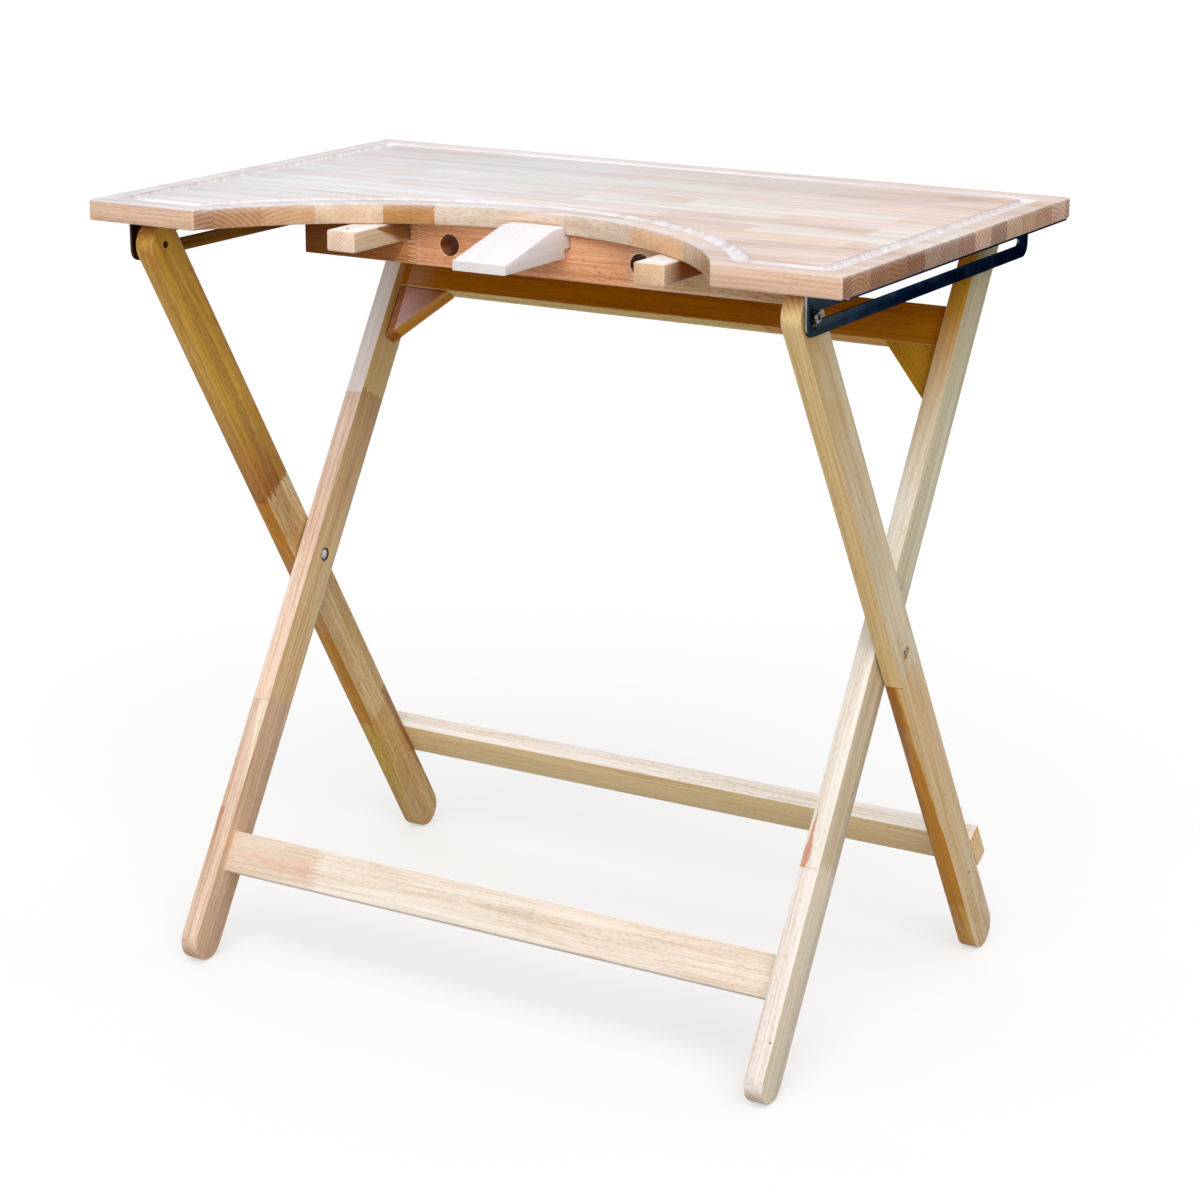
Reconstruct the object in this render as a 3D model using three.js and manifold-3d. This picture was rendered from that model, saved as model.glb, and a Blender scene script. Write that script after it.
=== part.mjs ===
// A folding workbench: a plank top with a bow-shaped cut-out, two arm rests and a bench pin,
// on two crossed leg frames that close like scissors under the top.
// Millimetres, +X to the right, +Y to the back, +Z up. The origin is on the floor under the middle.
import * as THREE from "three";
import { mergeVertices } from "three/addons/utils/BufferGeometryUtils.js";
import Module from "manifold-3d";

const wasm = await Module();
wasm.setup();

// Tabletop
const TOP_WIDTH = 800;
const TOP_DEPTH = 505;
const TOP_THICKNESS = 20;
const TOP_HEIGHT = 780;
const TOP_CORNER_RADIUS = 3;
const TOP_EDGE_ROUND = 2;
const HORN_WIDTH = 125;
const CUTOUT_DEPTH = 164;
const GROOVE_INSET = 28;
const GROOVE_WIDTH = 17;
const GROOVE_DEPTH = 6;
const GROOVE_WALL = 0.8;
const GROOVE_FLOOR = 3;

// Apron rail under the back of the cut-out, with the holes that hold a mandrel
const APRON_OFFSET = 7;
const APRON_SETBACK = 4.5;
const APRON_HEIGHT = 44;
const APRON_THICKNESS = 32;
const MANDREL_HOLE_DIAMETER = 21;
const MANDREL_HOLE_SPACING = 210;
const MANDREL_HOLE_DROP = 22;

// Bench pin: a wedge of wood with a tongue that plugs into the apron
const PIN_WIDTH = 58;
const PIN_LENGTH = 105;
const PIN_FRONT_HEIGHT = 9;
const PIN_BACK_HEIGHT = 30;
const PIN_FLAT_LENGTH = 19;
const PIN_TONGUE_HEIGHT = 12.8;
const PIN_TONGUE_RISE = 8.5;
const PIN_TO_CUTOUT_GAP = 1.2;

// Arm rests that slide through the apron, each in a keeper block behind it
const ARM_WIDTH = 32;
const ARM_HEIGHT = 20;
const ARM_LENGTH = 287;
const ARM_REACH = 93;
const ARM_SPACING = 333;
const KEEPER_SETBACK = 98;
const KEEPER_THICKNESS = 20;
const KEEPER_WALL = 15;

// Leg frames
const LEG_WIDTH = 42;
const LEG_THICKNESS = 20;
const LEG_SETBACK = 44.5;
const LEG_GAP = 1.5;
const LEG_TOP_CLEARANCE = 2;
const PIVOT_INSET = 34.5;
const RAIL_WIDTH = 42;
const RAIL_THICKNESS = 20;
const UPPER_RAIL_DROP = 75;
const FRONT_STRETCHER_RISE = 72.5;
const REAR_STRETCHER_RISE = 76;
const GUSSET_LENGTH = 59;
const GUSSET_THICKNESS = 19;
const WOOD_EDGE_ROUND = 1.5;

// Slotted steel angle under each end of the top
const BRACKET_THICKNESS = 2;
const BRACKET_FLANGE = 41.5;
const BRACKET_BAR = 17;
const BRACKET_NOSE = 16;
const BRACKET_BACK_INSET = 2;
const BRACKET_CORNER_RADIUS = 12;
const BRACKET_GAP = 0.8;
const SIDE_PLAY = 7.5;
const SLOT_OVERRUN = 5;
const SEAT_DIAMETER = 10.8;
const NOTCH_WIDTH = 7.5;
const NOTCH_DEPTH = 11;

// Short steel angle that carries each inner leg
const HINGE_LENGTH = 50;
const HINGE_FLANGE = 30;

// Bolts, nuts, washers and threaded inserts
const PIVOT_BOLT_DIAMETER = 6;
const PIVOT_HEAD_DIAMETER = 11;
const PIVOT_HEAD_HEIGHT = 4;
const HEAD_SINK = 1.5;
const HEAD_CHAMFER = 1;
const NUT_WIDTH = 10;
const NUT_HEIGHT = 5;
const NUT_SINK = 0.6;
const WASHER_DIAMETER = 18;
const SLOT_BOLT_DIAMETER = 7.6;
const SLOT_HEAD_DIAMETER = 11.4;
const SLOT_HEAD_HEIGHT = 3.2;
const SLOT_HEAD_STANDOFF = 1;
const SOCKET_WIDTH = 5;
const SOCKET_DEPTH = 2.5;
const INSERT_DIAMETER = 11;
const INSERT_LENGTH = 12;
const INSERT_TAIL_HOLE = 7;

// Clearances
const SLIDE_CLEARANCE = 0.5;
const SHAFT_CLEARANCE = 0.4;
const THREAD_CLEARANCE = 0.1;
const FACE_CLEARANCE = 0.2;
const GLUE_LINE = 0.3;
const RECESS_CLEARANCE = 0.7;
const CUT_MARGIN = 2;

// How finely round forms are faceted
const CORNER_STEPS = 3;
const ROUND_STEPS = 12;
const HOLE_STEPS = 24;
const BRACKET_STEPS = 6;
const CUTOUT_STEPS = 40;
const EDGE_STEPS = 2;
const GROOVE_STEPS = 4;
const HEX_SIDES = 6;

// Places worked out from the sizes above
const undersideZ = TOP_HEIGHT - TOP_THICKNESS;
const frontY = -TOP_DEPTH / 2;
const backY = TOP_DEPTH / 2;
const cutoutWidth = TOP_WIDTH - 2 * HORN_WIDTH;
const cutoutRadius = (cutoutWidth ** 2 / 4 + CUTOUT_DEPTH ** 2) / (2 * CUTOUT_DEPTH);
const cutoutCentreY = frontY + CUTOUT_DEPTH - cutoutRadius;
const apronFrontY = frontY + CUTOUT_DEPTH + APRON_SETBACK;
const apronBackY = apronFrontY + APRON_THICKNESS;
const footRadius = LEG_WIDTH / 2;
const pivotDrop = footRadius + LEG_TOP_CLEARANCE;
const pivotZ = undersideZ - pivotDrop;
const pivotY = backY - PIVOT_INSET;
const crossingZ = (pivotZ + footRadius) / 2;
const openAngle = Math.atan2(pivotY, pivotZ - crossingZ);
const halfSpan = Math.hypot(pivotY, pivotZ - crossingZ);
const outerLegOutX = TOP_WIDTH / 2 - LEG_SETBACK;
const outerLegInX = outerLegOutX - LEG_THICKNESS;
const innerLegOutX = outerLegInX - LEG_GAP;
const innerLegInX = innerLegOutX - LEG_THICKNESS;
const rightPlateX = outerLegOutX + BRACKET_GAP;
const leftPlateX = rightPlateX + SIDE_PLAY;
const flangeEdgeX = rightPlateX + BRACKET_FLANGE;
const boltHoleDiameter = PIVOT_BOLT_DIAMETER + 2 * SHAFT_CLEARANCE;
const slotHeight = SLOT_BOLT_DIAMETER + 2 * SHAFT_CLEARANCE;
const headRecessDepth = PIVOT_HEAD_HEIGHT + HEAD_SINK;
const nutRecessDepth = NUT_HEIGHT + NUT_SINK;
const quarterTurn = Math.PI / 2;
const hexCorner = 1 / Math.cos(Math.PI / HEX_SIDES);

// Finishes
const finish = (color, roughness, metalness = 0) =>
  new THREE.MeshStandardMaterial({ color, roughness, metalness });
const paleWood = finish("#e6dacb", 0.6);
const legWood = finish("#c9ab7c", 0.55);
const railWood = finish("#a8793c", 0.6);
const apronWood = finish("#c88a5c", 0.6);
const pinWood = finish("#efe4dc", 0.7);
const blackSteel = finish("#1f2a38", 0.45, 0.8);
const zincSteel = finish("#b9bcbe", 0.3, 1);

// Points along an arc, with both ends
function arc(centreX, centreY, radius, from, to, steps) {
  return Array.from({ length: steps + 1 }, (_, step) => {
    const angle = from + ((to - from) * step) / steps;
    return new THREE.Vector2(centreX + radius * Math.cos(angle), centreY + radius * Math.sin(angle));
  });
}

function circle(centreX, centreY, diameter, sides = HOLE_STEPS) {
  return arc(centreX, centreY, diameter / 2, 0, 2 * Math.PI, sides).slice(0, -1);
}

function roundedRectangle(left, bottom, right, top, radius) {
  return new THREE.Shape([
    ...arc(right - radius, bottom + radius, radius, -quarterTurn, 0, CORNER_STEPS),
    ...arc(right - radius, top - radius, radius, 0, quarterTurn, CORNER_STEPS),
    ...arc(left + radius, top - radius, radius, quarterTurn, 2 * quarterTurn, CORNER_STEPS),
    ...arc(left + radius, bottom + radius, radius, 2 * quarterTurn, 3 * quarterTurn, CORNER_STEPS),
  ]);
}

// A bar with half-round ends, between two end centres on one upright or level line
function roundEnded(startX, startY, endX, endY, width) {
  const heading = Math.atan2(endY - startY, endX - startX);
  return new THREE.Shape([
    ...arc(endX, endY, width / 2, heading - quarterTurn, heading + quarterTurn, ROUND_STEPS),
    ...arc(startX, startY, width / 2, heading + quarterTurn, heading + 3 * quarterTurn, ROUND_STEPS),
  ]);
}

// How far a drawn outline is extruded, and how much its edges are eased
function extrusion(thickness, ease) {
  return {
    depth: thickness - 2 * ease,
    bevelEnabled: ease > 0,
    bevelThickness: ease,
    bevelSize: ease,
    bevelOffset: -ease,
    bevelSegments: EDGE_STEPS,
  };
}

// A plate drawn from the side, in Y and Z, between two X places
function sidePlate(shape, fromX, toX, ease = 0) {
  const geometry = new THREE.ExtrudeGeometry(shape, extrusion(toX - fromX, ease));
  const axes = [new THREE.Vector3(0, 1, 0), new THREE.Vector3(0, 0, 1), new THREE.Vector3(1, 0, 0)];
  geometry.applyMatrix4(new THREE.Matrix4().makeBasis(...axes));
  return geometry.translate(fromX + ease, 0, 0);
}

// A plate drawn from the front, in X and Z, between two Y places
function frontPlate(shape, fromY, toY, ease = 0) {
  const geometry = new THREE.ExtrudeGeometry(shape, extrusion(toY - fromY, ease));
  return geometry.rotateX(quarterTurn).translate(0, toY - ease, 0);
}

// A plate drawn from above, in X and Y, between two Z places
function flatPlate(shape, fromZ, toZ, ease = 0) {
  const geometry = new THREE.ExtrudeGeometry(shape, extrusion(toZ - fromZ, ease));
  return geometry.translate(0, 0, fromZ + ease);
}

// A piece turned about an axis along X, from [x, radius] points that start and end on the axis
function turned(profile) {
  const points = profile.map(([x, radius]) => new THREE.Vector2(radius, x));
  return new THREE.LatheGeometry(points, HOLE_STEPS).rotateZ(-quarterTurn);
}

// A round or hexagonal cutter along X
function drill(y, z, diameter, fromX, toX, sides = HOLE_STEPS) {
  return sidePlate(new THREE.Shape(circle(y, z, diameter, sides)), fromX, toX);
}

// A geometry as a closed solid that can be joined and cut
function solidOf(geometry) {
  const bare = new THREE.BufferGeometry();
  bare.setAttribute("position", geometry.getAttribute("position"));
  bare.setIndex(geometry.getIndex());
  const merged = mergeVertices(bare);
  const vertProperties = merged.getAttribute("position").array;
  const triVerts = new Uint32Array(merged.getIndex().array);
  return new wasm.Manifold(new wasm.Mesh({ numProp: 3, vertProperties, triVerts }));
}

function geometryOf(solid) {
  const mesh = solid.getMesh();
  const geometry = new THREE.BufferGeometry();
  geometry.setAttribute("position", new THREE.BufferAttribute(mesh.vertProperties, 3));
  geometry.setIndex(new THREE.BufferAttribute(mesh.triVerts, 1));
  geometry.computeVertexNormals();
  return geometry;
}

function cut(geometry, ...cutters) {
  const rest = cutters.reduce((solid, cutter) => solid.subtract(solidOf(cutter)), solidOf(geometry));
  return geometryOf(rest);
}

function join(first, second) {
  return geometryOf(solidOf(first).add(solidOf(second)));
}

function addPiece(parent, name, geometry, material) {
  const mesh = new THREE.Mesh(geometry, material);
  mesh.name = name;
  parent.add(mesh);
  return mesh;
}

// A piece on the right and its mirror image on the left, or the mirror image of another piece there
function addPair(parent, name, geometry, material, leftGeometry = geometry) {
  addPiece(parent, `right_${name}`, geometry, material);
  addPiece(parent, `left_${name}`, leftGeometry, material).scale.x = -1;
}

// The rim of the top seen from above, drawn in by an inset, cut-out included, with rounded corners
function rimLine(inset, cornerRadius) {
  const core = inset + cornerRadius;
  const right = TOP_WIDTH / 2 - core;
  const front = frontY + core;
  const back = backY - core;
  const hornRadius = cutoutRadius + core;
  const bowTurn = Math.asin((front - cutoutCentreY) / hornRadius);
  const hornX = hornRadius * Math.cos(bowTurn);
  const corner = (x, y, from, to) => arc(x, y, cornerRadius, from, to, CORNER_STEPS);
  return [
    ...corner(-right, front, -2 * quarterTurn, -quarterTurn),
    ...corner(-hornX, front, -quarterTurn, -bowTurn),
    ...arc(0, cutoutCentreY, cutoutRadius + inset, Math.PI - bowTurn, bowTurn, CUTOUT_STEPS).slice(1, -1),
    ...corner(hornX, front, Math.PI + bowTurn, 3 * quarterTurn),
    ...corner(right, front, -quarterTurn, 0),
    ...corner(right, back, 0, quarterTurn),
    ...corner(-right, back, quarterTurn, 2 * quarterTurn),
  ];
}

// The routed groove follows the whole rim at one inset; its floor is rounded into both walls
function grooveCutter() {
  const band = new THREE.Shape(rimLine(GROOVE_INSET - GROOVE_WIDTH / 2, GROOVE_WIDTH / 2));
  band.holes.push(new THREE.Path(rimLine(GROOVE_INSET + GROOVE_WIDTH / 2, TOP_CORNER_RADIUS)));
  const hollow = (GROOVE_WIDTH - GROOVE_FLOOR) / 2;
  const geometry = new THREE.ExtrudeGeometry(band, {
    depth: GROOVE_DEPTH,
    bevelThickness: GROOVE_DEPTH - GROOVE_WALL,
    bevelSize: hollow,
    bevelOffset: -hollow,
    bevelSegments: GROOVE_STEPS,
  });
  return geometry.translate(0, 0, TOP_HEIGHT - GROOVE_WALL);
}

function tabletop() {
  const outline = new THREE.Shape(rimLine(0, TOP_CORNER_RADIUS));
  return cut(flatPlate(outline, undersideZ, TOP_HEIGHT, TOP_EDGE_ROUND), grooveCutter());
}

const armTopZ = undersideZ - SLIDE_CLEARANCE;
const armNotch = {
  width: ARM_WIDTH + 2 * SLIDE_CLEARANCE,
  floorZ: armTopZ - ARM_HEIGHT - SLIDE_CLEARANCE,
};
const tongueTopZ = undersideZ - SLIDE_CLEARANCE;
const pinNotch = {
  width: PIN_WIDTH + 2 * SLIDE_CLEARANCE,
  floorZ: tongueTopZ - PIN_TONGUE_HEIGHT - SLIDE_CLEARANCE,
};

// A block under the top with notches in its upper edge
function notchedBlock(left, right, bottomZ, fromY, toY, notches) {
  const outline = new THREE.Shape([
    new THREE.Vector2(left, bottomZ),
    new THREE.Vector2(right, bottomZ),
    new THREE.Vector2(right, undersideZ),
    new THREE.Vector2(left, undersideZ),
  ]);
  const cutters = notches.map(({ centreX, width, floorZ }) => {
    const opening = new THREE.Shape([
      new THREE.Vector2(centreX - width / 2, floorZ),
      new THREE.Vector2(centreX + width / 2, floorZ),
      new THREE.Vector2(centreX + width / 2, undersideZ + CUT_MARGIN),
      new THREE.Vector2(centreX - width / 2, undersideZ + CUT_MARGIN),
    ]);
    return frontPlate(opening, fromY - CUT_MARGIN, toY + CUT_MARGIN);
  });
  return cut(frontPlate(outline, fromY, toY), ...cutters);
}

function apronRail() {
  const notches = [
    { centreX: -ARM_SPACING / 2, ...armNotch },
    { centreX: 0, ...pinNotch },
    { centreX: ARM_SPACING / 2, ...armNotch },
  ];
  const bottomZ = undersideZ - APRON_HEIGHT;
  const block = notchedBlock(-cutoutWidth / 2, cutoutWidth / 2, bottomZ, apronFrontY, apronBackY, notches);
  const holes = [-1, 1].map((side) => {
    const x = (side * MANDREL_HOLE_SPACING) / 2;
    const shape = new THREE.Shape(circle(x, undersideZ - MANDREL_HOLE_DROP, MANDREL_HOLE_DIAMETER));
    return frontPlate(shape, apronFrontY - CUT_MARGIN, apronBackY + CUT_MARGIN);
  });
  return cut(block, ...holes);
}

function armKeeper() {
  const centreX = ARM_SPACING / 2;
  const reach = armNotch.width / 2 + KEEPER_WALL;
  const fromY = apronBackY + KEEPER_SETBACK;
  const bottomZ = armNotch.floorZ - KEEPER_WALL;
  const notch = { centreX, ...armNotch };
  return notchedBlock(centreX - reach, centreX + reach, bottomZ, fromY, fromY + KEEPER_THICKNESS, [notch]);
}

function armRest() {
  const left = (ARM_SPACING - ARM_WIDTH) / 2;
  const section = roundedRectangle(left, armTopZ - ARM_HEIGHT, left + ARM_WIDTH, armTopZ, TOP_EDGE_ROUND);
  const startY = apronFrontY - ARM_REACH;
  return frontPlate(section, startY, startY + ARM_LENGTH, WOOD_EDGE_ROUND);
}

// The pin in side view: a thin front edge, a long slope, a short flat and the tongue at the back
function benchPin() {
  const farSideX = PIN_WIDTH / 2 + Math.abs(APRON_OFFSET);
  const cutoutEdgeY = cutoutCentreY + Math.sqrt(cutoutRadius ** 2 - farSideX ** 2);
  const heelY = cutoutEdgeY - PIN_TO_CUTOUT_GAP;
  const tipY = heelY - PIN_LENGTH;
  const tongueBottomZ = tongueTopZ - PIN_TONGUE_HEIGHT;
  const bottomZ = tongueBottomZ - PIN_TONGUE_RISE;
  const profile = new THREE.Shape([
    new THREE.Vector2(tipY, bottomZ),
    new THREE.Vector2(heelY, bottomZ),
    new THREE.Vector2(heelY, tongueBottomZ),
    new THREE.Vector2(apronBackY, tongueBottomZ),
    new THREE.Vector2(apronBackY, tongueTopZ),
    new THREE.Vector2(heelY, tongueTopZ),
    new THREE.Vector2(heelY, bottomZ + PIN_BACK_HEIGHT),
    new THREE.Vector2(heelY - PIN_FLAT_LENGTH, bottomZ + PIN_BACK_HEIGHT),
    new THREE.Vector2(tipY, bottomZ + PIN_FRONT_HEIGHT),
  ]);
  return sidePlate(profile, -PIN_WIDTH / 2, PIN_WIDTH / 2, WOOD_EDGE_ROUND);
}

// A steel angle: an upright plate with two rounded lower corners, and a flange screwed under the top
function steelAngle(legX, flange, bottomZ, fromY, toY) {
  const radius = BRACKET_CORNER_RADIUS;
  const outline = new THREE.Shape([
    new THREE.Vector2(toY, undersideZ),
    new THREE.Vector2(fromY, undersideZ),
    ...arc(fromY + radius, bottomZ + radius, radius, 2 * quarterTurn, 3 * quarterTurn, BRACKET_STEPS),
    ...arc(toY - radius, bottomZ + radius, radius, 3 * quarterTurn, 4 * quarterTurn, BRACKET_STEPS),
  ]);
  const plateEndX = legX + Math.sign(flange) * BRACKET_THICKNESS;
  const plate = sidePlate(outline, Math.min(legX, plateEndX), Math.max(legX, plateEndX));
  const tipX = legX + flange;
  const round = BRACKET_THICKNESS / 2;
  const plan = roundedRectangle(Math.min(legX, tipX), fromY, Math.max(legX, tipX), toY, round);
  return join(plate, flatPlate(plan, undersideZ - BRACKET_THICKNESS, undersideZ));
}

// The bolt of the outer leg runs in this slot: a round seat and a drop notch at the front,
// and a straight run to the line of the rear pivot
function slotBracket(plateX) {
  const bottomZ = pivotZ - BRACKET_BAR;
  const flange = flangeEdgeX - plateX;
  const angle = steelAngle(plateX, flange, bottomZ, -pivotY - BRACKET_NOSE, backY - BRACKET_BACK_INSET);
  const fromX = plateX - CUT_MARGIN;
  const toX = plateX + BRACKET_THICKNESS + CUT_MARGIN;
  const run = roundEnded(-pivotY, pivotZ, pivotY + SLOT_OVERRUN, pivotZ, slotHeight);
  const drop = roundEnded(-pivotY, pivotZ, -pivotY, pivotZ - NOTCH_DEPTH + NOTCH_WIDTH / 2, NOTCH_WIDTH);
  const seat = drill(-pivotY, pivotZ, SEAT_DIAMETER, fromX, toX);
  return cut(angle, sidePlate(run, fromX, toX), sidePlate(drop, fromX, toX), seat);
}

function hingeBracket() {
  const legX = innerLegInX - BRACKET_GAP;
  const bottomZ = pivotZ - BRACKET_BAR;
  const half = HINGE_LENGTH / 2;
  const angle = steelAngle(legX, -HINGE_FLANGE, bottomZ, pivotY - half, pivotY + half);
  const inner = legX - BRACKET_THICKNESS - CUT_MARGIN;
  return cut(angle, drill(pivotY, pivotZ, boltHoleDiameter, inner, legX + CUT_MARGIN));
}

// A leg standing upright on the crossing point, with half-round ends
function legBlank(fromX, toX) {
  const outline = roundEnded(0, -halfSpan, 0, halfSpan, LEG_WIDTH);
  outline.holes.push(new THREE.Path(circle(0, 0, boltHoleDiameter)));
  return sidePlate(outline, fromX, toX, WOOD_EDGE_ROUND);
}

const headRecessDiameter = PIVOT_HEAD_DIAMETER + 2 * RECESS_CLEARANCE;
const nutRecessDiameter = NUT_WIDTH * hexCorner + 2 * RECESS_CLEARANCE;

function innerLeg() {
  const inner = innerLegInX - CUT_MARGIN;
  const outer = innerLegOutX + CUT_MARGIN;
  return cut(
    legBlank(innerLegInX, innerLegOutX),
    drill(0, 0, nutRecessDiameter, inner, innerLegInX + nutRecessDepth),
    drill(0, halfSpan, boltHoleDiameter, inner, outer),
    drill(0, halfSpan, nutRecessDiameter, innerLegOutX - nutRecessDepth, outer),
  );
}

function outerLeg() {
  const outer = outerLegOutX + CUT_MARGIN;
  const insertHole = INSERT_DIAMETER + 2 * FACE_CLEARANCE;
  return cut(
    legBlank(outerLegInX, outerLegOutX),
    drill(0, 0, headRecessDiameter, outerLegOutX - headRecessDepth, outer),
    drill(0, halfSpan, INSERT_TAIL_HOLE, outerLegInX - CUT_MARGIN, outer),
    drill(0, halfSpan, insertHole, outerLegOutX - INSERT_LENGTH, outer),
  );
}

// A rail of planed wood along X
function rail(halfLength, frontFaceY, bottomZ) {
  const backFaceY = frontFaceY + RAIL_THICKNESS;
  const section = roundedRectangle(frontFaceY, bottomZ, backFaceY, bottomZ + RAIL_WIDTH, WOOD_EDGE_ROUND);
  return sidePlate(section, -halfLength, halfLength);
}

const frontStretcherBottomZ = FRONT_STRETCHER_RISE - halfSpan;
const rearStretcherBottomZ = REAR_STRETCHER_RISE - halfSpan;
const upperRailBottomZ = halfSpan - UPPER_RAIL_DROP - RAIL_WIDTH;

// A triangular brace in the corner of a leg and the upper rail
function gusset() {
  const topZ = upperRailBottomZ - GLUE_LINE;
  const outline = new THREE.Shape([
    new THREE.Vector2(innerLegInX, topZ),
    new THREE.Vector2(innerLegInX - GUSSET_LENGTH, topZ),
    new THREE.Vector2(innerLegInX, topZ - GUSSET_LENGTH),
  ]);
  return frontPlate(outline, -GUSSET_THICKNESS / 2, GUSSET_THICKNESS / 2);
}

// A bolt with its head to the right of seatX, a shank to tipX and a hexagon socket in the head
function bolt(seatX, tipX, headDiameter, headHeight, shankDiameter) {
  const headEndX = seatX + headHeight;
  const headRadius = headDiameter / 2;
  const shankRadius = shankDiameter / 2;
  const body = turned([
    [tipX, 0],
    [tipX, shankRadius],
    [seatX, shankRadius],
    [seatX, headRadius],
    [headEndX - HEAD_CHAMFER, headRadius],
    [headEndX, headRadius - HEAD_CHAMFER],
    [headEndX, 0],
  ]);
  const socketEndX = headEndX + CUT_MARGIN;
  return cut(body, drill(0, 0, SOCKET_WIDTH * hexCorner, headEndX - SOCKET_DEPTH, socketEndX, HEX_SIDES));
}

function nut(fromX) {
  const outline = new THREE.Shape(circle(0, 0, NUT_WIDTH * hexCorner, HEX_SIDES));
  outline.holes.push(new THREE.Path(circle(0, 0, PIVOT_BOLT_DIAMETER + 2 * THREAD_CLEARANCE)));
  return sidePlate(outline, fromX, fromX + NUT_HEIGHT);
}

function ring(outerDiameter, innerDiameter, fromX, toX) {
  const outline = new THREE.Shape(circle(0, 0, outerDiameter));
  outline.holes.push(new THREE.Path(circle(0, 0, innerDiameter)));
  return sidePlate(outline, fromX, toX);
}

const bench = new THREE.Group();

// The top and the steel angles under it. The left angle stands off its leg by the side play of the
// leg frames, which rest against the right one.
addPiece(bench, "tabletop", tabletop(), paleWood);
addPair(bench, "slot_bracket", slotBracket(rightPlateX), blackSteel, slotBracket(leftPlateX));
addPair(bench, "hinge_bracket", hingeBracket(), blackSteel);

// The apron and what it holds stand a little to the right of the cut-out's middle
const apronSet = new THREE.Group();
apronSet.position.x = APRON_OFFSET;
bench.add(apronSet);
addPiece(apronSet, "apron_rail", apronRail(), apronWood);
addPiece(apronSet, "bench_pin", benchPin(), pinWood);
addPair(apronSet, "arm_rest", armRest(), paleWood);
addPair(apronSet, "arm_keeper", armKeeper(), legWood);

// The inner frame leans its head to the back, about the crossing point
const innerFrame = new THREE.Group();
innerFrame.position.z = crossingZ;
innerFrame.rotation.x = -openAngle;
bench.add(innerFrame);
addPair(innerFrame, "inner_leg", innerLeg(), legWood);
const frontStretcher = rail(innerLegInX, -RAIL_THICKNESS / 2, frontStretcherBottomZ);
addPiece(innerFrame, "upper_rail", rail(innerLegInX, -RAIL_THICKNESS / 2, upperRailBottomZ), railWood);
addPiece(innerFrame, "front_stretcher", frontStretcher, legWood);
addPair(innerFrame, "gusset", gusset(), legWood);

const hingeNutX = innerLegOutX - nutRecessDepth;
const hingeSeatX = BRACKET_GAP + BRACKET_THICKNESS - innerLegInX;
const hingeBolt = bolt(
  hingeSeatX,
  -hingeNutX - NUT_HEIGHT,
  PIVOT_HEAD_DIAMETER,
  PIVOT_HEAD_HEIGHT,
  PIVOT_BOLT_DIAMETER,
);
addPair(innerFrame, "hinge_bolt", hingeBolt.rotateZ(Math.PI).translate(0, 0, halfSpan), zincSteel);
addPair(innerFrame, "hinge_nut", nut(hingeNutX).translate(0, 0, halfSpan), zincSteel);

// The outer frame leans its head to the front, on the same crossing point
const outerFrame = new THREE.Group();
outerFrame.position.z = crossingZ;
outerFrame.rotation.x = openAngle;
bench.add(outerFrame);
addPair(outerFrame, "outer_leg", outerLeg(), legWood);
const rearStretcher = rail(outerLegOutX, LEG_WIDTH / 2 + GLUE_LINE, rearStretcherBottomZ);
addPiece(outerFrame, "rear_stretcher", rearStretcher, railWood);

const pivotNutX = innerLegInX + nutRecessDepth - NUT_HEIGHT;
const pivotBolt = bolt(
  outerLegOutX - headRecessDepth,
  pivotNutX,
  PIVOT_HEAD_DIAMETER,
  PIVOT_HEAD_HEIGHT,
  PIVOT_BOLT_DIAMETER,
);
addPair(outerFrame, "pivot_bolt", pivotBolt, zincSteel);
addPair(outerFrame, "pivot_nut", nut(pivotNutX), zincSteel);
const washerX = [innerLegOutX + FACE_CLEARANCE, outerLegInX - FACE_CLEARANCE];
addPair(outerFrame, "pivot_washer", ring(WASHER_DIAMETER, boltHoleDiameter, ...washerX), zincSteel);

function slotBolt(plateX) {
  const seatX = plateX + BRACKET_THICKNESS + SLOT_HEAD_STANDOFF;
  const tipX = outerLegOutX - INSERT_LENGTH;
  const blank = bolt(seatX, tipX, SLOT_HEAD_DIAMETER, SLOT_HEAD_HEIGHT, SLOT_BOLT_DIAMETER);
  return blank.translate(0, 0, halfSpan);
}
addPair(outerFrame, "slot_bolt", slotBolt(rightPlateX), zincSteel, slotBolt(leftPlateX));
const insertBore = SLOT_BOLT_DIAMETER + 2 * THREAD_CLEARANCE;
const insert = ring(INSERT_DIAMETER, insertBore, outerLegOutX - INSERT_LENGTH, outerLegOutX);
addPair(outerFrame, "threaded_insert", insert.translate(0, 0, halfSpan), zincSteel);

export default bench;
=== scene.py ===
"""Looks of a folding workbench: its wood, steel and small fasteners, a plain studio and the camera."""

from __future__ import annotations

import logging
import math
from collections.abc import Callable
from dataclasses import dataclass, replace
from enum import Enum

import bmesh
import bpy
from mathutils import Matrix, Vector


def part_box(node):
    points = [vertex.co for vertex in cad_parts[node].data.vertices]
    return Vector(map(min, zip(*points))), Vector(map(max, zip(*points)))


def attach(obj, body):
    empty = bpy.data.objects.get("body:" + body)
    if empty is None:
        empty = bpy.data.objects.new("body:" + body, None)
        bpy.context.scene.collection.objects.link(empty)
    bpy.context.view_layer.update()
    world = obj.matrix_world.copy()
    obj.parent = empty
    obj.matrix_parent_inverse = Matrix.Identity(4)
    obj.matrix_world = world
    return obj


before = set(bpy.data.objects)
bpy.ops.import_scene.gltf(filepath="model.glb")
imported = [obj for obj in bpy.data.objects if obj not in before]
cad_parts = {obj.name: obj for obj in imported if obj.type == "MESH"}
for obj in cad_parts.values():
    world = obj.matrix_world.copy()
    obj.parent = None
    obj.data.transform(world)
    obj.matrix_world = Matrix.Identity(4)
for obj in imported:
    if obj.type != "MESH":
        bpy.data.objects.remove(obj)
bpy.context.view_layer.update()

log = logging.getLogger("folding_workbench")

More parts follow.
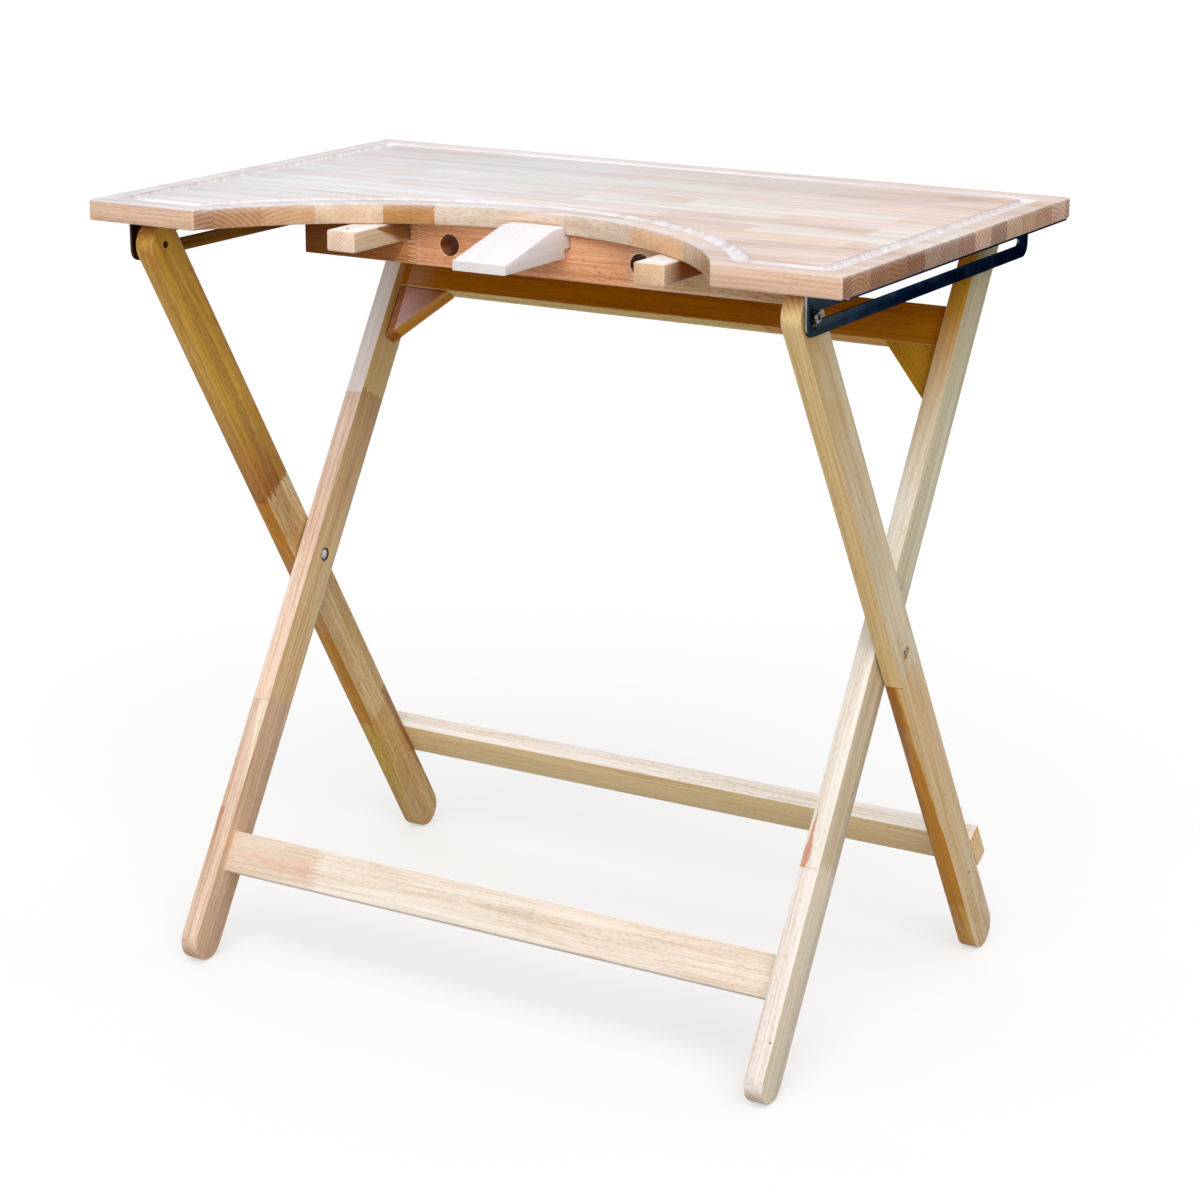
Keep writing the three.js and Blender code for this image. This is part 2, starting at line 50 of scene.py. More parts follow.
Socket = bpy.types.NodeSocket
Value = float | Socket
Colour = tuple[float, float, float, float]

PIVOT_REACH = 0.218
PIVOT_RISE = 0.358
CROSSING_HEIGHT = 0.379
LEG_LEAN = math.atan2(PIVOT_REACH, PIVOT_RISE)
LEG_HALF_SPAN = math.hypot(PIVOT_REACH, PIVOT_RISE)
LEG_HALF_WIDTH = 0.021


class Grain(Enum):
    """The axis of a piece, in its own upright frame, that its wood fibres follow."""

    ACROSS = 0
    FORWARD = 1
    UPRIGHT = 2


class Body(Enum):
    """The rigid bodies that pieces ride on."""

    TOP = "top"
    INNER_FRAME = "inner_frame"
    OUTER_FRAME = "outer_frame"
    PIN = "pin"
    LEFT_ARM = "left_arm"
    RIGHT_ARM = "right_arm"


class Side(Enum):
    """The two ends of the bench, with the sign of their X."""

    LEFT = -1
    RIGHT = 1

    @property
    def word(self) -> str:
        """The side as the first word of a node's name."""
        return self.name.lower()


def paint(code: str) -> Colour:
    """Turn a screen colour into a shader colour.

    Args:
        code: Six hexadecimal digits, as red, green and blue on a screen.

    Returns:
        The linear red, green, blue and alpha.
    """
    channels = [int(code[place : place + 2], 16) / 255 for place in (0, 2, 4)]
    linear = [c / 12.92 if c <= 0.04045 else ((c + 0.055) / 1.055) ** 2.4 for c in channels]
    return (linear[0], linear[1], linear[2], 1.0)


@dataclass(frozen=True)
class Lustre:
    """How a surface reflects: bare metal or not, how strongly, and in which tint."""

    metallic: float = 0.0
    level: float = 0.5
    tint: Colour = (1.0, 1.0, 1.0, 1.0)


class NodeSheet:
    """A material's node tree, with short calls for the nodes that the finishes use."""

    def __init__(self, name: str) -> None:
        """Start an empty material.

        Args:
            name: The material's name.
        """
        self.material = bpy.data.materials.new(name)
        self.material.use_nodes = True
        self.tree = self.material.node_tree
        self.tree.nodes.clear()

    def add(self, kind: str) -> bpy.types.Node:
        """Add a node of one kind."""
        return self.tree.nodes.new(kind)

    def feed(self, socket: Socket, value: Value | Colour | tuple[float, float, float]) -> None:
        """Link a socket to another one, or write a constant on it.

        Args:
            socket: The input to feed.
            value: An output socket or a constant.
        """
        if isinstance(value, bpy.types.NodeSocket):
            self.tree.links.new(value, socket)
        else:
            socket.default_value = value

    def math(self, operation: str, first: Value, second: Value = 0.0, third: Value = 0.0) -> Socket:
        """Work out one number.

        Args:
            operation: The node's operation, in its own capitals.
            first: The first operand.
            second: The second operand, where the operation has one.
            third: The third operand, where the operation has one.

        Returns:
            The result's socket.
        """
        node = self.add("ShaderNodeMath")
        node.operation = operation
        for socket, value in zip(node.inputs, (first, second, third)):
            self.feed(socket, value)
        return node.outputs[0]

    def span(self, value: Value, low: Value, high: Value, to_low: Value, to_high: Value) -> Socket:
        """Map a range of numbers smoothly onto another, held at both ends.

        Args:
            value: The number to map.
            low: Where the range starts.
            high: Where the range ends.
            to_low: What low becomes.
            to_high: What high becomes.

        Returns:
            The mapped number's socket.
        """
        node = self.add("ShaderNodeMapRange")
        node.interpolation_type = "SMOOTHSTEP"
        for socket, number in zip(node.inputs, (value, low, high, to_low, to_high)):
            self.feed(socket, number)
        return node.outputs[0]

    def vector(self, x: Value, y: Value, z: Value) -> Socket:
        """Put three numbers together."""
        node = self.add("ShaderNodeCombineXYZ")
        for socket, value in zip(node.inputs, (x, y, z)):
            self.feed(socket, value)
        return node.outputs[0]

    def split(self, vector: Socket) -> tuple[Socket, Socket, Socket]:
        """Take a vector apart."""
        node = self.add("ShaderNodeSeparateXYZ")
        self.feed(node.inputs[0], vector)
        return (node.outputs[0], node.outputs[1], node.outputs[2])

    def noise(self, vector: Socket, scale: float, detail: float, roughness: float = 0.55) -> Socket:
        """Read a cloud of noise.

        Args:
            vector: Where to read it.
            scale: How fine the cloud is.
            detail: How many finer clouds it holds.
            roughness: How strong the finer ones are.

        Returns:
            The noise's socket, around one half.
        """
        node = self.add("ShaderNodeTexNoise")
        self.feed(node.inputs["Vector"], vector)
        self.feed(node.inputs["Scale"], scale)
        self.feed(node.inputs["Detail"], detail)
        self.feed(node.inputs["Roughness"], roughness)
        return node.outputs[0]

    def mix(
        self, share: Value, first: Socket | Colour, second: Socket | Colour, blend: str = "MIX"
    ) -> Socket:
        """Mix two colours.

        Args:
            share: How much of the second colour shows.
            first: The colour below.
            second: The colour above.
            blend: The node's blend mode, in its own capitals.

        Returns:
            The mixed colour's socket.
        """
        node = self.add("ShaderNodeMix")
        node.data_type = "RGBA"
        node.blend_type = blend
        self.feed(node.inputs[0], share)
        self.feed(node.inputs[6], first)
        self.feed(node.inputs[7], second)
        return node.outputs[2]

    def bump(self, height: Value, strength: float, distance: float) -> Socket:
        """Turn a height into a surface normal.

        Args:
            height: The height, from 0 to 1.
            strength: How much of the effect shows.
            distance: How deep a full height is, in metres.

        Returns:
            The normal's socket.
        """
        node = self.add("ShaderNodeBump")
        node.inputs["Strength"].default_value = strength
        node.inputs["Distance"].default_value = distance
        self.feed(node.inputs["Height"], height)
        return node.outputs[0]

    def surface(self, colour: Socket, roughness: Socket, normal: Socket, lustre: Lustre) -> None:
        """Close the material with one shader.

        Args:
            colour: The base colour.
            roughness: The roughness.
            normal: The bumped normal.
            lustre: How the surface reflects.
        """
        shader = self.add("ShaderNodeBsdfPrincipled")
        self.feed(shader.inputs["Base Color"], colour)
        self.feed(shader.inputs["Roughness"], roughness)
        self.feed(shader.inputs["Normal"], normal)
        shader.inputs["Metallic"].default_value = lustre.metallic
        shader.inputs["Specular IOR Level"].default_value = lustre.level
        shader.inputs["Specular Tint"].default_value = lustre.tint
        output = self.add("ShaderNodeOutputMaterial")
        self.tree.links.new(shader.outputs[0], output.inputs["Surface"])


@dataclass(frozen=True)
class WoodPlace:
    """Where a point of a piece lies in its own wood, and which way the surface faces there."""

    along: Socket
    across: Socket
    through: Socket
    front_line: Socket
    side_line: Socket
    sideways: Socket
    cut: Socket
    end_on: Socket
    on_edge: Socket

    def stretched(self, sheet: NodeSheet, along: float, across: float, through: float) -> Socket:
        """Scale the place for a pattern that is longer along the grain.

        Args:
            sheet: The material being made.
            along: Pattern steps in a metre along the grain.
            across: Pattern steps in a metre across it.
            through: Pattern steps in a metre through the piece.

        Returns:
            The scaled place's socket.
        """
        return sheet.vector(
            sheet.math("MULTIPLY", self.along, along),
            sheet.math("MULTIPLY", self.across, across),
            sheet.math("MULTIPLY", self.through, through),
        )


@dataclass(frozen=True)
class Setting:
    """How a piece stands: its grain, the axis of the faces called its sides, and the lean of its frame."""

    grain: Grain
    lean: float = 0.0
    side: Grain = Grain.ACROSS
    lies_flat: bool = False
    slant: float = 0.0

    def place(self, sheet: NodeSheet) -> WoodPlace:
        """Find the point's place in the wood.

        Args:
            sheet: The material being made.

        Returns:
            The place along, across and through the wood, in metres, and the facing.
        """
        coordinates = sheet.add("ShaderNodeTexCoord")
        upright = sheet.add("ShaderNodeMapping")
        upright.vector_type = "TEXTURE"
        height = CROSSING_HEIGHT if self.lean else 0.0
        upright.inputs["Location"].default_value = (0.0, 0.0, height)
        upright.inputs["Rotation"].default_value = (self.lean, 0.0, 0.0)
        sheet.feed(upright.inputs["Vector"], coordinates.outputs["Object"])
        x, y, z = sheet.split(upright.outputs[0])
        if self.slant:
            x, z = self.slanted(sheet, x, z)
        turn = sheet.add("ShaderNodeMapping")
        turn.vector_type = "NORMAL"
        turn.inputs["Rotation"].default_value = (-self.lean, 0.0, 0.0)
        sheet.feed(turn.inputs["Vector"], coordinates.outputs["Normal"])
        facing = tuple(sheet.math("ABSOLUTE", part) for part in sheet.split(turn.outputs[0]))
        order = {Grain.ACROSS: (x, z, y), Grain.FORWARD: (y, x, z), Grain.UPRIGHT: (z, y, x)}
        along, across, through = order[self.grain]
        if self.lies_flat:
            across, through = through, across
        upright_lines = self.grain is Grain.UPRIGHT
        cut = facing[self.grain.value]
        square = sheet.math("POWER", facing[self.side.value], 2.0)
        oblique = sheet.math("MULTIPLY", square, sheet.math("SUBTRACT", 1.0, square))
        return WoodPlace(
            along=along,
            across=across,
            through=through,
            front_line=through if upright_lines else across,
            side_line=across if upright_lines else through,
            sideways=sheet.span(facing[self.side.value], 0.4, 0.8, 0.0, 1.0),
            cut=cut,
            end_on=sheet.span(cut, 0.5, 0.95, 0.0, 1.0),
            on_edge=sheet.span(oblique, 0.02, 0.16, 0.0, 1.0),
        )

    def slanted(self, sheet: NodeSheet, x: Socket, z: Socket) -> tuple[Socket, Socket]:
        """Turn the grain within the front face.

        Args:
            sheet: The material being made.
            x: The place sideways.
            z: The place upward.

        Returns:
            The place along the slanted grain, and across it.
        """
        cosine, sine = math.cos(self.slant), math.sin(self.slant)
        along = sheet.math("MULTIPLY_ADD", z, sine, sheet.math("MULTIPLY", x, cosine))
        aside = sheet.math("MULTIPLY_ADD", z, cosine, sheet.math("MULTIPLY", x, -sine))
        return (along, aside)


@dataclass(frozen=True)
class Figure:
    """How strongly the parts of the grain show, and the spacing of its rings in metres."""

    ring_spacing: float = 0.0052
    drift: float = 0.03
    rings: float = 0.14
    end_rings: float = 0.5
    bands: float = 0.44
    fibres: float = 0.62
    pores: float = 0.8
    waver: float = 0.005
    through_scale: float = 1.0
    roughness: float = 0.38
    lustre: Lustre = Lustre(level=0.22)

    def lay(self, sheet: NodeSheet, place: WoodPlace, pith: tuple[Value, Value]) -> tuple[Socket, Socket]:
        """Lay rings, bands, fibres and pores through the wood.

        Args:
            sheet: The material being made.
            place: Where the point lies in the wood.
            pith: Where the heart of the tree was, across and through the piece.

        Returns:
            The depth of colour and the pores, both from 0 to 1.
        """
        deep = self.through_scale
        drift = sheet.noise(place.stretched(sheet, 2.6, 14.0, 14.0 * deep), 1.0, 2.0)
        side = sheet.math("SUBTRACT", place.across, pith[0])
        depth = sheet.math("SUBTRACT", place.through, pith[1])
        squares = sheet.math("MULTIPLY_ADD", side, side, sheet.math("MULTIPLY", depth, depth))
        radius = sheet.math("MULTIPLY_ADD", drift, self.drift, sheet.math("SQRT", squares))
        wave = sheet.math("SINE", sheet.math("MULTIPLY", radius, 2 * math.pi / self.ring_spacing))
        ring = sheet.math("POWER", sheet.math("MULTIPLY_ADD", wave, 0.5, 0.5), 2.2)
        ring_share = sheet.span(place.end_on, 0.0, 1.0, self.rings, self.end_rings)
        sway = sheet.noise(place.stretched(sheet, 8.0, 14.0, 14.0 * deep), 1.0, 2.0)
        bent = replace(
            place,
            across=sheet.math("MULTIPLY_ADD", sway, self.waver, place.across),
            through=sheet.math("MULTIPLY_ADD", sway, self.waver, place.through),
        )
        band = sheet.noise(bent.stretched(sheet, 3.2, 75.0, 75.0 * deep), 1.0, 3.0, 0.6)
        fibre = sheet.noise(bent.stretched(sheet, 7.0, 560.0, 560.0 * deep), 1.0, 2.0, 0.65)
        fleck = sheet.noise(bent.stretched(sheet, 165.0, 900.0, 900.0 * deep), 1.0, 1.0)
        uncut = sheet.span(place.cut, 0.2, 0.75, 1.0, 0.3)
        crowd = sheet.math("MULTIPLY", sheet.span(band, 0.38, 0.62, 0.4, 1.0), uncut)
        pores = sheet.math("MULTIPLY", sheet.span(fleck, 0.55, 0.68, 0.0, 1.0), crowd)
        shade = sheet.span(band, 0.34, 0.68, 0.0, self.bands)
        fine = sheet.span(fibre, 0.42, 0.72, 0.0, self.fibres)
        shade = sheet.math("MULTIPLY_ADD", fine, uncut, shade)
        return (sheet.math("MULTIPLY_ADD", ring, ring_share, shade), pores)

    def tint(self, sheet: NodeSheet, colour: Socket | Colour, depth: Socket, pores: Socket) -> Socket:
        """Draw the grain in a wood colour.

        Args:
            sheet: The material being made.
            colour: The wood's own colour.
            depth: The depth of colour.
            pores: Where the pores are.

        Returns:
            The grained colour.
        """
        light = sheet.mix(1.0, colour, (1.06, 1.07, 1.1, 1.0), "MULTIPLY")
        dark = sheet.mix(1.0, colour, (0.7, 0.54, 0.4, 1.0), "MULTIPLY")
        grained = sheet.mix(depth, light, dark)
        burnt = sheet.mix(1.0, colour, (0.62, 0.4, 0.24, 1.0), "MULTIPLY")
        return sheet.mix(sheet.math("MULTIPLY", pores, self.pores), grained, burnt)

    def close(
        self, sheet: NodeSheet, colour: Socket, depth: Socket, pores: Socket, matt: Value = 0.0
    ) -> None:
        """Close a wood material with a satin surface that the grain roughens.

        Args:
            sheet: The material being made.
            colour: The wood's grained colour.
            depth: The depth of colour.
            pores: Where the pores are.
            matt: How much rougher the surface is than the satin.
        """
        height = sheet.math("MULTIPLY_ADD", depth, -0.25, sheet.math("MULTIPLY", pores, -1.0))
        normal = sheet.bump(height, 0.3, 0.0004)
        roughness = sheet.math("MULTIPLY_ADD", depth, 0.12, self.roughness)
        roughness = sheet.math("MULTIPLY_ADD", pores, 0.2, roughness)
        roughness = sheet.math("ADD", roughness, matt)
        sheet.surface(colour, roughness, normal, self.lustre)


@dataclass(frozen=True)
class Board:
    """One board of a finger-jointed stick: where it starts, its two colours and how plain its grain is."""

    start: float
    side: Colour
    front: Colour
    plain: float = 0.0


@dataclass(frozen=True)
class Streak:
    """A streak of another colour that tapers or fades along the grain, on a stick's sides or front; besides
    streaks in the wood, some are painted shade and painted reflection.
    """

    root: float
    tip: float
    middle: float
    half_width: float
    colour: Colour
    strength: float = 0.85
    on_front: bool = False
    waver: float = 0.016
    ragged: float = 0.0
    fade: float = 0.0

    def draw(self, sheet: NodeSheet, place: WoodPlace, colour: Socket) -> Socket:
        """Draw the streak over a wood colour.

        Args:
            sheet: The material being made.
            place: Where the point lies in the wood.
            colour: The wood's own colour.

        Returns:
            The colour with the streak.
        """
        past_root = sheet.math("SUBTRACT", place.along, self.root)
        share = sheet.math("DIVIDE", past_root, self.tip - self.root)
        teeth = sheet.noise(place.stretched(sheet, 24.0, 330.0, 330.0), 1.0, 2.0)
        torn = self.ragged / abs(self.tip - self.root)
        torn_share = sheet.math("MULTIPLY_ADD", teeth, torn, sheet.math("SUBTRACT", share, torn / 2))
        begun = sheet.math("GREATER_THAN", torn_share, 0.0)
        wander = sheet.noise(place.stretched(sheet, 26.0, 30.0, 30.0), 1.0, 3.0)
        line = place.front_line if self.on_front else place.side_line
        spot = sheet.math("MULTIPLY_ADD", wander, self.waver, line)
        off = sheet.math("ABSOLUTE", sheet.math("SUBTRACT", spot, self.middle + self.waver / 2))
        reach = sheet.math("MULTIPLY_ADD", share, -self.half_width, self.half_width)
        body = sheet.span(off, sheet.math("MULTIPLY", reach, 0.55), reach, self.strength, 0.0)
        body = sheet.math("MULTIPLY", body, sheet.math("GREATER_THAN", reach, 0.0))
        body = sheet.math("MULTIPLY", body, sheet.math("MULTIPLY_ADD", share, -self.fade, 1.0))
        face = sheet.math("SUBTRACT", 1.0, place.sideways) if self.on_front else place.sideways
        body = sheet.math("MULTIPLY", body, face)
        return sheet.mix(sheet.math("MULTIPLY", body, begun), colour, self.colour)


@dataclass(frozen=True)
class PaintedDisc:
    """A disc of painted shade on a stick: in a hole drilled through it, dark inside, or only as a dark ring
    on its outer face; a wide disc gives shade with a nearly straight edge, and a tint above one gives a
    painted highlight.
    """

    along: float
    across: float
    radius: float
    beyond: float = 0.0
    shade: Colour = (0.16, 0.1, 0.07, 1.0)

    def draw(self, sheet: NodeSheet, place: WoodPlace, colour: Socket) -> Socket:
        """Multiply the colour inside the disc by the tint: painted shade below one, painted highlight above.

        Args:
            sheet: The material being made.
            place: Where the point lies in the wood.
            colour: The wood's own colour.

        Returns:
            The colour with the painted disc.
        """
        up = sheet.math("SUBTRACT", place.along, self.along)
        aside = sheet.math("SUBTRACT", place.across, self.across)
        squares = sheet.math("MULTIPLY_ADD", up, up, sheet.math("MULTIPLY", aside, aside))
        inside = sheet.math("LESS_THAN", squares, self.radius * self.radius)
        outside_of = sheet.math("GREATER_THAN", sheet.math("ABSOLUTE", place.through), self.beyond)
        inside = sheet.math("MULTIPLY", inside, outside_of)
        return sheet.mix(inside, colour, sheet.mix(1.0, colour, self.shade, "MULTIPLY"))


@dataclass(frozen=True)
class StickWood:
    """Planed wood in one stick, made of boards that meet in finger joints."""

    name: str
    setting: Setting
    boards: tuple[Board, ...]
    pith: tuple[float, float]
    figure: Figure = Figure()
    streaks: tuple[Streak, ...] = ()
    painted_discs: tuple[PaintedDisc, ...] = ()
    finger_pitch: float = 0.0042
    finger_length: float = 0.011
    glue_line: Colour = paint("8a6a45")
    glue_strength: float = 0.2
    end_tint: Colour = (0.88, 0.78, 0.7, 1.0)
    # How strongly pale clouds paint sheen on the wood.
    patchy_sheen: float = 0.2
    # How strongly the rounded edges get a painted highlight.
    edge_highlight: float = 0.45

    def make(self) -> bpy.types.Material:
        """Make the material.

        Returns:
            The finished material.
        """
        sheet = NodeSheet(self.name)
        place = self.setting.place(sheet)
        depth, pores = self.figure.lay(sheet, place, self.pith)
        colour, lines, lively = self.joined_boards(sheet, place)
        depth = sheet.math("MULTIPLY", depth, lively)
        pores = sheet.math("MULTIPLY", pores, lively)
        for streak in self.streaks:
            colour = streak.draw(sheet, place, colour)
        colour = sheet.mix(place.end_on, colour, sheet.mix(1.0, colour, self.end_tint, "MULTIPLY"))
        colour = self.figure.tint(sheet, colour, depth, pores)
        colour = sheet.mix(lines, colour, self.glue_line)
        # Painted sheen: pale clouds of noise lighten the wood in patches, standing for glossy reflections.
        clouds = sheet.noise(place.stretched(sheet, 7.0, 24.0, 24.0), 1.0, 3.0)
        pale = sheet.mix(0.6, colour, (0.9, 0.86, 0.8, 1.0))
        colour = sheet.mix(sheet.span(clouds, 0.55, 0.72, 0.0, self.patchy_sheen), colour, pale)
        # Painted highlight: rounded edges are lightened toward the same pale colour.
        colour = sheet.mix(sheet.math("MULTIPLY", place.on_edge, self.edge_highlight), colour, pale)
        # Painted shade in holes, round bolts and nuts and along seams, and painted highlight on hole rims.
        for painted_disc in self.painted_discs:
            colour = painted_disc.draw(sheet, place, colour)
        self.figure.close(sheet, colour, depth, pores)
        return sheet.material

    def joined_boards(self, sheet: NodeSheet, place: WoodPlace) -> tuple[Socket, Value, Value]:
        """Lay the boards end to end, with a comb of fingers at each joint.

        Args:
            sheet: The material being made.
            place: Where the point lies in the wood.

        Returns:
            The boards' colour, how strongly a glue line shows, and how lively the grain is.
        """
        cycle = sheet.math("FRACT", sheet.math("DIVIDE", place.across, self.finger_pitch))
        tooth = sheet.math("SUBTRACT", sheet.math("ABSOLUTE", sheet.math("SUBTRACT", cycle, 0.5)), 0.5)
        reach = sheet.math("MULTIPLY_ADD", tooth, 2 * self.finger_length, place.along)
        colour = sheet.mix(place.sideways, self.boards[0].front, self.boards[0].side)
        lines: Value = 0.0
        lively: Value = 1.0 - self.boards[0].plain
        for board in self.boards[1:]:
            past = sheet.math("SUBTRACT", reach, board.start)
            share = sheet.span(past, -0.0003, 0.0003, 0.0, 1.0)
            colour = sheet.mix(share, colour, sheet.mix(place.sideways, board.front, board.side))
            near = sheet.span(sheet.math("ABSOLUTE", past), 0.0004, 0.0016, self.glue_strength, 0.0)
            lines = sheet.math("MAXIMUM", lines, near)
            change = sheet.math("SUBTRACT", 1.0 - board.plain, lively)
            lively = sheet.math("MULTIPLY_ADD", share, change, lively)
        return (colour, lines, lively)


@dataclass(frozen=True)
class Tone:
    """One of the tones that the blocks of the top come in, and where its share of them starts."""

    start: float
    colour: Colour


@dataclass(frozen=True)
class StaveWood:
    """The top's wood: staves glued side by side, each of blocks in several tones, limed white above, the
    white also painted sheen.
    """

    name: str
    setting: Setting
    tones: tuple[Tone, ...]
    end_tint: Colour
    dark_end_tint: Colour
    lime_and_sheen: tuple[Colour, Colour]
    lime_and_sheen_share: tuple[float, float]
    pale_tones: tuple[float, float]
    pale_lime_and_sheen: Colour
    groove_lime_and_sheen: Colour
    groove_grain: Colour
    lime_and_sheen_grain: float = 0.95
    lime_matt: float = 0.5
    top_height: float = 0.78
    half_width: float = 0.4
    half_depth: float = 0.2525
    groove_inset: float = 0.014
    arc_centre: float = -0.4011
    arc_radius: float = 0.3126
    stave: float = 0.0366
    first_stave: float = 0.2345
    block: float = 0.217
    block_shift: tuple[float, float] = (0.518, 0.0635)
    tone_steps: tuple[float, float, float] = (0.671, 0.311, 0.34)
    figure: Figure = Figure(
        0.0042, 0.012, 0.1, 0.85, bands=0.32, fibres=0.42, pores=0.5, waver=0.003, lustre=Lustre(level=0.26)
    )

    def make(self) -> bpy.types.Material:
        """Make the material.

        Returns:
            The finished material.
        """
        sheet = NodeSheet(self.name)
        place = self.setting.place(sheet)
        row_place = sheet.math("DIVIDE", sheet.math("ADD", place.across, self.first_stave), self.stave)
        row = sheet.math("FLOOR", row_place)
        block = self.block_number(sheet, place, row)
        tone = self.steady(sheet, block, row, self.tone_steps)
        heart = self.steady(sheet, block, row, (0.71, 0.57, 0.3))
        stave_side = sheet.math("MULTIPLY_ADD", row, self.stave, -self.first_stave)
        heart_side = sheet.math("MULTIPLY_ADD", heart, 0.14, sheet.math("ADD", stave_side, -0.052))
        heart_depth = sheet.math("MULTIPLY_ADD", tone, 0.2, self.top_height - 0.11)
        depth, pores = self.figure.lay(sheet, place, (heart_side, heart_depth))
        colour: Socket | Colour = self.tones[0].colour
        for other in self.tones[1:]:
            share = sheet.span(tone, other.start - 0.02, other.start + 0.02, 0.0, 1.0)
            colour = sheet.mix(share, colour, other.colour)
        dusk = sheet.mix(sheet.span(heart, 0.15, 0.85, 0.0, 1.0), self.end_tint, self.dark_end_tint)
        ended = sheet.span(place.cut, 0.68, 0.92, 0.0, 1.0)
        colour = sheet.mix(ended, colour, sheet.mix(1.0, colour, dusk, "MULTIPLY"))
        colour = self.figure.tint(sheet, colour, depth, pores)
        seam = sheet.math("ABSOLUTE", sheet.math("SUBTRACT", sheet.math("FRACT", row_place), 0.5))
        seam_share = sheet.span(seam, 0.486, 0.498, 0.0, 0.4)
        colour = sheet.mix(seam_share, colour, sheet.mix(1.0, colour, (0.6, 0.46, 0.35, 1.0), "MULTIPLY"))
        upward = self.upward(sheet)
        colour = self.limed_with_sheen(sheet, place, colour, tone, depth, upward)
        self.figure.close(sheet, colour, depth, pores, sheet.math("MULTIPLY", upward, self.lime_matt))
        return sheet.material

    def upward(self, sheet: NodeSheet) -> Socket:
        """Tell the faces that look up, as 1, from the sides, as 0."""
        coordinates = sheet.add("ShaderNodeTexCoord")
        return sheet.span(sheet.split(coordinates.outputs["Normal"])[2], 0.05, 0.45, 0.0, 1.0)

    def block_number(self, sheet: NodeSheet, place: WoodPlace, row: Socket) -> Socket:
        """Number the blocks along a stave, with short fingers where they meet.

        Args:
            sheet: The material being made.
            place: Where the point lies in the wood.
            row: The stave's number.

        Returns:
            The block's number.
        """
        cycle = sheet.math("FRACT", sheet.math("DIVIDE", place.through, 0.005))
        tooth = sheet.math("ABSOLUTE", sheet.math("SUBTRACT", cycle, 0.5))
        reach = sheet.math("MULTIPLY_ADD", tooth, 0.003, sheet.math("ADD", place.along, self.half_width))
        step, start = self.block_shift
        shift = sheet.math("FRACT", sheet.math("MULTIPLY_ADD", sheet.math("MAXIMUM", row, 0.0), step, start))
        return sheet.math("FLOOR", sheet.math("ADD", sheet.math("DIVIDE", reach, self.block), shift))

    def steady(
        self, sheet: NodeSheet, block: Socket, row: Socket, steps: tuple[float, float, float]
    ) -> Socket:
        """Spread numbers evenly over the blocks.

        Args:
            sheet: The material being made.
            block: The block's number in its stave.
            row: The stave's number.
            steps: How far the number goes from block to block and from stave to stave, and its start.

        Returns:
            A number from 0 to 1.
        """
        along_row = sheet.math("MULTIPLY_ADD", block, steps[0], steps[2])
        return sheet.math("FRACT", sheet.math("MULTIPLY_ADD", row, steps[1], along_row))

    def in_groove(self, sheet: NodeSheet, place: WoodPlace) -> Socket:
        """Tell the groove from the outer edges of the top.

        Args:
            sheet: The material being made.
            place: Where the point lies in the wood.

        Returns:
            1 below the top face and away from the rim, else 0.
        """
        sunk = sheet.span(place.through, self.top_height - 0.0005, self.top_height - 0.0001, 1.0, 0.0)
        from_centre = sheet.math("SUBTRACT", place.across, self.arc_centre)
        sideways = sheet.math("MULTIPLY", place.along, place.along)
        squares = sheet.math("MULTIPLY_ADD", from_centre, from_centre, sideways)
        inside = sheet.math("GREATER_THAN", sheet.math("SQRT", squares), self.arc_radius + self.groove_inset)
        for part, half in ((place.along, self.half_width), (place.across, self.half_depth)):
            within = sheet.math("LESS_THAN", sheet.math("ABSOLUTE", part), half - self.groove_inset)
            inside = sheet.math("MULTIPLY", inside, within)
        above = sheet.math("GREATER_THAN", place.through, self.top_height - 0.012)
        return sheet.math("MULTIPLY", sheet.math("MULTIPLY", sunk, above), inside)

    def limed_with_sheen(
        self,
        sheet: NodeSheet,
        place: WoodPlace,
        colour: Socket,
        tone: Socket,
        depth: Socket,
        upward: Socket,
    ) -> Socket:
        """Whiten what faces up with lime and painted sheen, less to the right, and the groove, whose white
        is also painted highlight, with its open end grain.

        Args:
            sheet: The material being made.
            place: Where the point lies in the wood.
            colour: The wood's grained colour.
            tone: The block's tone.
            depth: The depth of colour.
            upward: Which faces look up.

        Returns:
            The colour with lime and painted sheen.
        """
        # Painted sheen: the white is thicker toward the left, bluish there and pinkish on the right, thinned
        # in streaky patches.
        rightward = sheet.span(place.along, -0.25, 0.4, 0.0, 1.0)
        white = sheet.mix(rightward, self.lime_and_sheen[0], self.lime_and_sheen[1])
        low, high = self.pale_tones
        under_high = sheet.math("LESS_THAN", tone, high)
        pale = sheet.math("MULTIPLY", sheet.math("GREATER_THAN", tone, low), under_high)
        white = sheet.mix(sheet.math("MULTIPLY", pale, 0.35), white, self.pale_lime_and_sheen)
        clouds = sheet.noise(place.stretched(sheet, 5.0, 26.0, 26.0), 1.0, 4.0, 0.65)
        streaks = sheet.noise(place.stretched(sheet, 5.0, 190.0, 20.0), 1.0, 4.0, 0.7)
        streaky = sheet.span(streaks, 0.36, 0.66, 0.0, 0.5)
        patchiness = sheet.math("ADD", sheet.span(clouds, 0.36, 0.66, 0.0, 0.5), streaky)
        thinning = sheet.math("MULTIPLY", patchiness, sheet.span(rightward, 0.0, 1.0, 0.34, 0.52))
        cover = sheet.span(rightward, 0.0, 1.0, self.lime_and_sheen_share[0], self.lime_and_sheen_share[1])
        cover = sheet.math("MULTIPLY_ADD", pale, 0.08, sheet.math("SUBTRACT", cover, thinning))
        dim = sheet.mix(1.0, white, (0.74, 0.64, 0.58, 1.0), "MULTIPLY")
        white = sheet.mix(sheet.math("MULTIPLY", depth, self.lime_and_sheen_grain), white, dim)
        limed_with_sheen = sheet.mix(sheet.math("MULTIPLY", upward, cover), colour, white)
        comb = sheet.noise(place.stretched(sheet, 30.0, 170.0, 30.0), 1.0, 4.0, 0.75)
